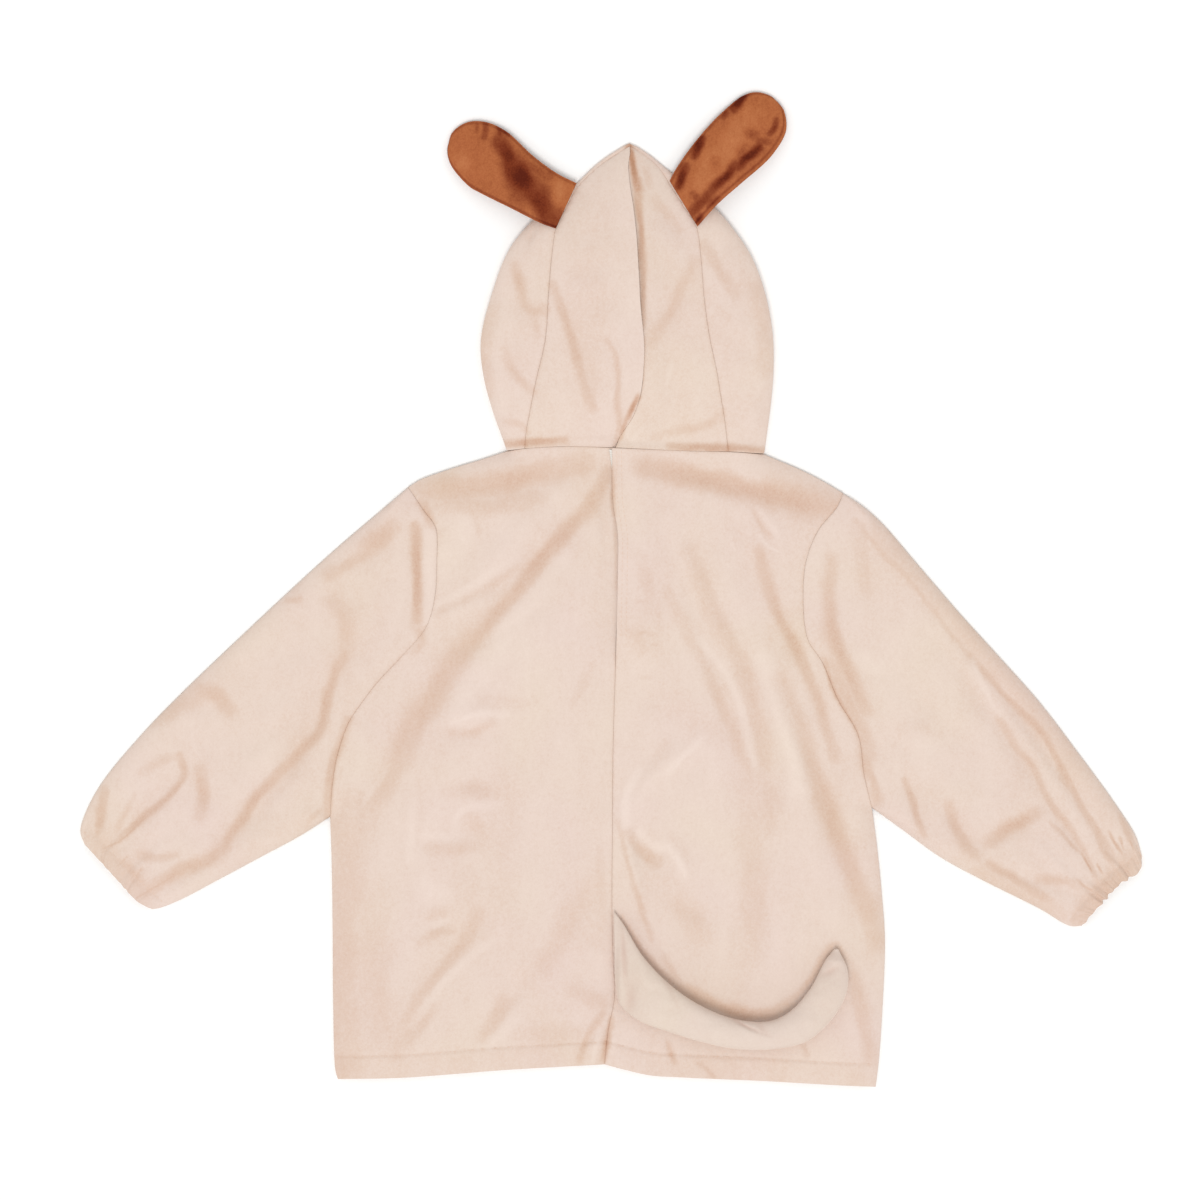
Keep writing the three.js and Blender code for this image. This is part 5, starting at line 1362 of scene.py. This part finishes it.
def mixed_colour(tree, factor, low, high):
    return add(tree, "ShaderNodeMix", {"data_type": "RGBA"}, {
        "Factor": factor, 6: linear(low), 7: linear(high),
    }).outputs[2]


# How much each scale of the nap and the strokes of nap and painted shade change the tone, and the depth of
# the pile's bumps
CREAM_NAP = {
    "swept": 0.19, "crushed": 0.17, "clumps": 0.27, "pile": 0.26, "strokes": 0.21, "bump": 0.3,
    "sheen": 0.4, "gloss": 0.25,
}
PALE_NAP = {
    "swept": 0.12, "crushed": 0.12, "clumps": 0.20, "pile": 0.20, "strokes": 0.20, "bump": 0.3,
    "sheen": 1.0, "gloss": 0.25,
}
BROWN_NAP = {
    "swept": 0.14, "crushed": 0.30, "clumps": 0.28, "pile": 0.30, "strokes": 0.42, "bump": 0.4,
    "sheen": 0.03, "gloss": 0.08,
}


# Warp-knitted polyester velvet: its short shiny pile lies mostly smooth. The shade attribute darkens it,
# to peach on the cream and dark brown on the brown, and lightens it: the pile's own turned patches
# together with painted shade in folds and grooves and painted highlights on ridges. Its 17 mm blotches
# and 3 mm clumps are weaker where that attribute is strong.
def velvet(name, tones, nap, roughness):
    material, tree, shader, place = new_material(name)
    piece = add(tree, "ShaderNodeAttribute", {"attribute_name": "piece_number"}).outputs["Fac"]
    shade = add(tree, "ShaderNodeAttribute", {"attribute_name": "shade"}).outputs["Fac"]
    sweep = add(tree, "ShaderNodeMapping", None, {
        "Vector": place, "Rotation": (0, 0, math.radians(-32)), "Scale": (1, 0.42, 1),
    }).outputs["Vector"]
    layers = {}
    for layer, vector, size, detail, distortion in (
        ("drift", place, 90, 1, 0.4),
        ("swept", sweep, 46, 2, 0.9),
        ("crushed", sweep, 17, 5, 1.6),
        ("clumps", place, 3.4, 4, 0.6),
        ("pile", place, 1.3, 2, 0),
    ):
        layers[layer] = add(tree, "ShaderNodeTexNoise", {"noise_dimensions": "4D"}, {
            "Vector": vector, "W": piece, "Scale": per_metre(size), "Detail": detail,
            "Roughness": 0.62, "Distortion": distortion,
        }).outputs["Fac"]
    shade_stroke_strength = math_node(tree, "ABSOLUTE", shade)
    crushing = math_node(tree, "MULTIPLY_ADD", shade_stroke_strength, -BLOTCHES_LOST_TO_SHADE, BLOTCHES)
    tone = math_node(tree, "MULTIPLY_ADD", shade, -nap["strokes"], 0.5)
    for layer in ("swept", "crushed", "clumps", "pile"):
        middled = math_node(tree, "SUBTRACT", layers[layer], 0.5)
        if layer in ("crushed", "clumps"):
            middled = math_node(tree, "MULTIPLY", middled, crushing)
        tone = math_node(tree, "MULTIPLY_ADD", middled, nap[layer], tone)
    ramp = add(tree, "ShaderNodeValToRGB", None, {"Fac": tone})
    ramp.color_ramp.interpolation = "LINEAR"
    stops = ramp.color_ramp.elements
    for _ in range(len(tones) - 2):
        stops.new(0.5)
    for stop, (position, colour) in zip(stops, tones):
        stop.position = position
        stop.color = linear(colour)
    hue = mixed_colour(tree, layers["drift"], "#fffdf5", "#fff8fb")
    colour = add(tree, "ShaderNodeMix", {"data_type": "RGBA", "blend_type": "MULTIPLY"}, {
        "Factor": 1.0, 6: ramp.outputs["Color"], 7: hue,
    }).outputs[2]
    tree.links.new(colour, shader.inputs["Base Color"])
    bumped = None
    for layer, distance, strength in (
        ("crushed", 0.0016, 0.55), ("clumps", 0.0005, 0.7), ("pile", 0.00022, 0.8),
    ):
        inputs = {"Height": layers[layer], "Distance": distance, "Strength": strength * nap["bump"]}
        if bumped is not None:
            inputs["Normal"] = bumped
        bumped = add(tree, "ShaderNodeBump", None, inputs).outputs["Normal"]
    tree.links.new(bumped, shader.inputs["Normal"])
    shader.inputs["Roughness"].default_value = roughness
    shader.inputs["IOR"].default_value = 1.5
    shader.inputs["Specular IOR Level"].default_value = nap["gloss"]
    shader.inputs["Sheen Weight"].default_value = nap["sheen"]
    shader.inputs["Sheen Roughness"].default_value = 0.42
    shader.inputs["Sheen Tint"].default_value = linear(tones[-1][1])
    return material


# Woven nylon tape with rows of hooks: dull off-white, ribbed every millimetre
def woven_tape(name):
    material, tree, shader, place = new_material(name)
    ribs = add(tree, "ShaderNodeTexWave", {"bands_direction": "Y"}, {
        "Vector": place, "Scale": per_metre(1.0) / (2 * math.pi), "Distortion": 0.4,
    }).outputs["Fac"]
    hooks = noise(tree, place, 0.7, 3)
    colour = mixed_colour(tree, hooks, "#d9d2c8", "#f0ece6")
    tree.links.new(colour, shader.inputs["Base Color"])
    height = math_node(tree, "ADD", ribs, hooks)
    bump = add(tree, "ShaderNodeBump", None, {"Height": height, "Distance": 0.0003, "Strength": 0.8})
    tree.links.new(bump.outputs["Normal"], shader.inputs["Normal"])
    shader.inputs["Roughness"].default_value = 0.6
    return material


# Spun polyester sewing thread: two twisted plies, a little shinier than the pile around it
def sewing_thread(name):
    material, tree, shader, place = new_material(name)
    plies = noise(tree, place, 0.9, 2)
    colour = mixed_colour(tree, plies, "#cfae98", "#e6d0bf")
    tree.links.new(colour, shader.inputs["Base Color"])
    bump = add(tree, "ShaderNodeBump", None, {"Height": plies, "Distance": 0.0001, "Strength": 0.5})
    tree.links.new(bump.outputs["Normal"], shader.inputs["Normal"])
    shader.inputs["Roughness"].default_value = 0.5
    return material


# Smooth painted board, matt: a broad faint unevenness keeps it from looking drawn
def matt_board(name):
    material, tree, shader, place = new_material(name)
    colour = mixed_colour(tree, noise(tree, place, 400, 2), "#f7f7f6", "#fafaf9")
    tree.links.new(colour, shader.inputs["Base Color"])
    shader.inputs["Roughness"].default_value = 0.9
    return material


# Ramp stops by tone, dark to light. On the cream velvet the darkest stops show where painted shade is
# strongest, and the light end carries painted highlights as well as light nap
CREAM_TONES = [(0.02, "#b48a6f"), (0.12, "#c39f88"), (0.30, "#d1b9a8"), (0.50, "#dbcbc0"), (0.68, "#e2d4ca")]
PALE_TONES = [(0.02, "#b8967f"), (0.14, "#c4a793"), (0.30, "#cfbaae"), (0.50, "#d8cabf"), (0.68, "#dfd3c9")]
BROWN_TONES = [(0.02, "#571c0a"), (0.14, "#733016"), (0.32, "#8b4829"), (0.52, "#a9633b"), (0.78, "#be7c50")]

cream_velvet = velvet("cream polyester velvet, crushed pile", CREAM_TONES, CREAM_NAP, 0.62)
brown_velvet = velvet("brown polyester velvet, crushed pile", BROWN_TONES, BROWN_NAP, 0.6)
pale_velvet = velvet("pale polyester velvet, stuffed", PALE_TONES, PALE_NAP, 0.66)
hook_tape = woven_tape("nylon hook tape, woven")
cream_thread = sewing_thread("cream polyester thread, spun")


# Stitches along lines: a small rounded length of thread at each step
def stitch_tree():
    tree = bpy.data.node_groups.new("row of stitches", "GeometryNodeTree")
    sockets = tree.interface
    sockets.new_socket("Lines", in_out="INPUT", socket_type="NodeSocketGeometry")
    for size in ("Stitch length", "Gap between stitches", "Thread thickness"):
        sockets.new_socket(size, in_out="INPUT", socket_type="NodeSocketFloat")
    sockets.new_socket("Thread", in_out="INPUT", socket_type="NodeSocketMaterial")
    sockets.new_socket("Stitches", in_out="OUTPUT", socket_type="NodeSocketGeometry")
    start = add(tree, "NodeGroupInput").outputs
    line = add(tree, "GeometryNodeMeshToCurve", None, {"Mesh": start["Lines"]})
    pitch = math_node(tree, "ADD", start["Stitch length"], start["Gap between stitches"])
    places = add(tree, "GeometryNodeCurveToPoints", {"mode": "LENGTH"}, {
        "Curve": line.outputs[0], "Length": pitch,
    })
    bead = add(tree, "GeometryNodeMeshUVSphere", None, {"Segments": 6, "Rings": 5, "Radius": 0.5})
    size = add(tree, "ShaderNodeCombineXYZ", None, {
        "X": start["Thread thickness"], "Y": start["Thread thickness"], "Z": start["Stitch length"],
    })
    stitch = add(tree, "GeometryNodeTransform", None, {
        "Geometry": bead.outputs["Mesh"], "Scale": size.outputs[0],
    })
    placed = add(tree, "GeometryNodeInstanceOnPoints", None, {
        "Points": places.outputs["Points"], "Instance": stitch.outputs[0],
        "Rotation": places.outputs["Rotation"],
    })
    real = add(tree, "GeometryNodeRealizeInstances", None, {"Geometry": placed.outputs[0]})
    finished = add(tree, "GeometryNodeSetMaterial", None, {
        "Geometry": real.outputs[0], "Material": start["Thread"],
    })
    add(tree, "NodeGroupOutput", None, {"Stitches": finished.outputs[0]})
    return tree


ROW_OF_STITCHES = stitch_tree()
STITCH = {"Stitch length": 0.0028, "Gap between stitches": 0.0008, "Thread thickness": 0.00055}
STITCH_SINK = 0.1
HEM_STITCHED = [0.03, 0.97]
TAPE_ROWS = [3.6, 7.6]


def stitches(name, lines):
    points = np.concatenate(lines) * MM
    starts = np.cumsum([0] + [len(line) for line in lines])
    edges = [(k, k + 1) for a, b in zip(starts[:-1], starts[1:]) for k in range(a, b - 1)]
    mesh = bpy.data.meshes.new(name + " lines")
    mesh.from_pydata(points.tolist(), edges, [])
    carrier = in_scene(name + " lines", mesh)
    modifier = carrier.modifiers.new("row of stitches", "NODES")
    modifier.node_group = ROW_OF_STITCHES
    for item in ROW_OF_STITCHES.interface.items_tree:
        if item.in_out == "INPUT" and item.name in STITCH:
            modifier[item.identifier] = STITCH[item.name]
        if item.in_out == "INPUT" and item.name == "Thread":
            modifier[item.identifier] = cream_thread
    made = carrier.evaluated_get(bpy.context.evaluated_depsgraph_get())
    stitched = bpy.data.meshes.new_from_object(made)
    bpy.data.objects.remove(carrier)
    return in_scene(name, stitched)


# A line of points laid on the back, a little into its pile
def on_back(side, points):
    line = np.array(points, float)
    line[:, 2] = HEIGHTS[side](line[:, 0], line[:, 1]) - STITCH_SINK
    return line


# The hem is turned up 18 mm and sewn down with one row
def hem_line(side):
    line = at(measured(EDGES[side]["hem"]), np.linspace(*HEM_STITCHED, 90))
    across = unit(np.gradient(line, axis=0))
    up = np.stack([-across[:, 1], across[:, 0], 0 * across[:, 0]], -1)
    up *= np.sign(up[:, 1:2])
    return on_back(side, line + up * HEM_DEPTH)


# Two rows hold the tape to the right half's edge at the neck opening
def opening_line(inside):
    y = np.linspace(110, -36, 60)
    return on_back("right", np.stack([centre_x(y) + inside, y, 0 * y], -1))


# The elastic's casing is sewn 12 mm in from the cuff, on the upper layer
def cuff_line(side):
    shape = SLEEVE_SHAPES[side]
    q = np.linspace(0.06, 0.94, 60)
    step = np.linalg.norm(shape.point(0 * q + 1, q) - shape.point(0 * q + 0.96, q), axis=1) / 0.04
    s = 1 - CASING_DEPTH / step
    return shape.rings(s, q / 2, 0) - [0, 0, STITCH_SINK]


# The pieces' own numbers shift the nap, so that it doesn't run on across a seam
def number_pieces(built):
    for number, piece in enumerate(built):
        attribute = piece.data.attributes.new("piece_number", "FLOAT", "POINT")
        values = np.full(len(piece.data.vertices), NAP_SHIFT * number, np.float32)
        attribute.data.foreach_set("value", values)


# piece, CAD node, slot, then the cut's width and length and its area in metres
CLOTH = [
    [front_body(cream_velvet), "front_body", "cream_velvet", 0.444, 0.509, 0.189],
    [back_panel("left", cream_velvet), "back_left", "cream_velvet", 0.242, 0.508, 0.0986],
    [back_panel("right", cream_velvet), "back_right", "cream_velvet", 0.222, 0.514, 0.0956],
    [sleeve("left", cream_velvet), "sleeve_left", "cream_velvet", 0.262, 0.39, 0.0814],
    [sleeve("right", cream_velvet), "sleeve_right", "cream_velvet", 0.285, 0.38, 0.0858],
    [hood_centre("left", cream_velvet), "hood_centre_left", "cream_velvet", 0.085, 0.26, 0.0163],
    [hood_centre("right", cream_velvet), "hood_centre_right", "cream_velvet", 0.09, 0.26, 0.0122],
    [hood_side("left", cream_velvet), "hood_side_left", "cream_velvet", 0.13, 0.26, 0.0231],
    [hood_side("right", cream_velvet), "hood_side_right", "cream_velvet", 0.145, 0.26, 0.0256],
    [closure_tape(hook_tape), "closure_tape", "hook_tape", 0.012, 0.113, 0.0009],
]
PADDED = [
    [ear("left", brown_velvet), "ear_left", "brown_velvet", 0.3],
    [ear("right", brown_velvet), "ear_right", "brown_velvet", 0.3],
    [tail(pale_velvet), "tail", "pale_velvet", 0.9],
]
SEWN = {
    "back_left": stitches("hem_stitches_left", [hem_line("left")]),
    "back_right": stitches("hem_stitches_right", [
        hem_line("right"), opening_line(TAPE_ROWS[0]), opening_line(TAPE_ROWS[1]),
    ]),
    "sleeve_left": stitches("cuff_stitches_left", [cuff_line("left")]),
    "sleeve_right": stitches("cuff_stitches_right", [cuff_line("right")]),
}

number_pieces([row[0] for row in CLOTH + PADDED])
for piece, node, slot, width, length, area in CLOTH:
    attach(piece, "root")
    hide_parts(node)
for piece, node, slot, fill in PADDED:
    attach(piece, "root")
    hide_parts(node)
for piece in SEWN.values():
    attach(piece, "root")


def build_floor():
    half = 4
    low = -0.0002
    mesh = bpy.data.meshes.new("pale surface")
    corners = [(-half, -half, low), (half, -half, low), (half, half, low), (-half, half, low)]
    mesh.from_pydata(corners, [], [(0, 1, 2, 3)])
    mesh.materials.append(matt_board("white painted board, matt"))
    floor = in_scene("pale surface", mesh)


# Plain soft studio light: white all round, and a broad lamp beyond the hem
def build_light():
    world = bpy.data.worlds.new("soft white room")
    world.use_nodes = True
    world.node_tree.nodes["Background"].inputs["Color"].default_value = (1, 1, 1, 1)
    world.node_tree.nodes["Background"].inputs["Strength"].default_value = 0.78
    bpy.context.scene.world = world
    lamp = bpy.data.lights.new("broad lamp beyond the hem", "SUN")
    lamp.angle = math.radians(22)
    lamp.energy = 1.26
    light = in_scene("broad lamp beyond the hem", lamp)
    light.rotation_euler = (math.radians(20), 0, math.radians(-8))


PICTURE_WIDTH = 0.96
MIDDLE_HEIGHT = 0.006


# Straight down, so far up that the picture is that wide at the costume's middle height
def build_camera():
    camera = bpy.data.cameras.new("overhead")
    camera.lens = 200
    camera.sensor_width = 36
    overhead = in_scene("overhead", camera)
    overhead.location = (-0.0096, -0.008, PICTURE_WIDTH * camera.lens / camera.sensor_width + MIDDLE_HEIGHT)
    bpy.context.scene.camera = overhead


build_floor()
build_light()
build_camera()
bpy.context.scene.view_settings.view_transform = "Standard"
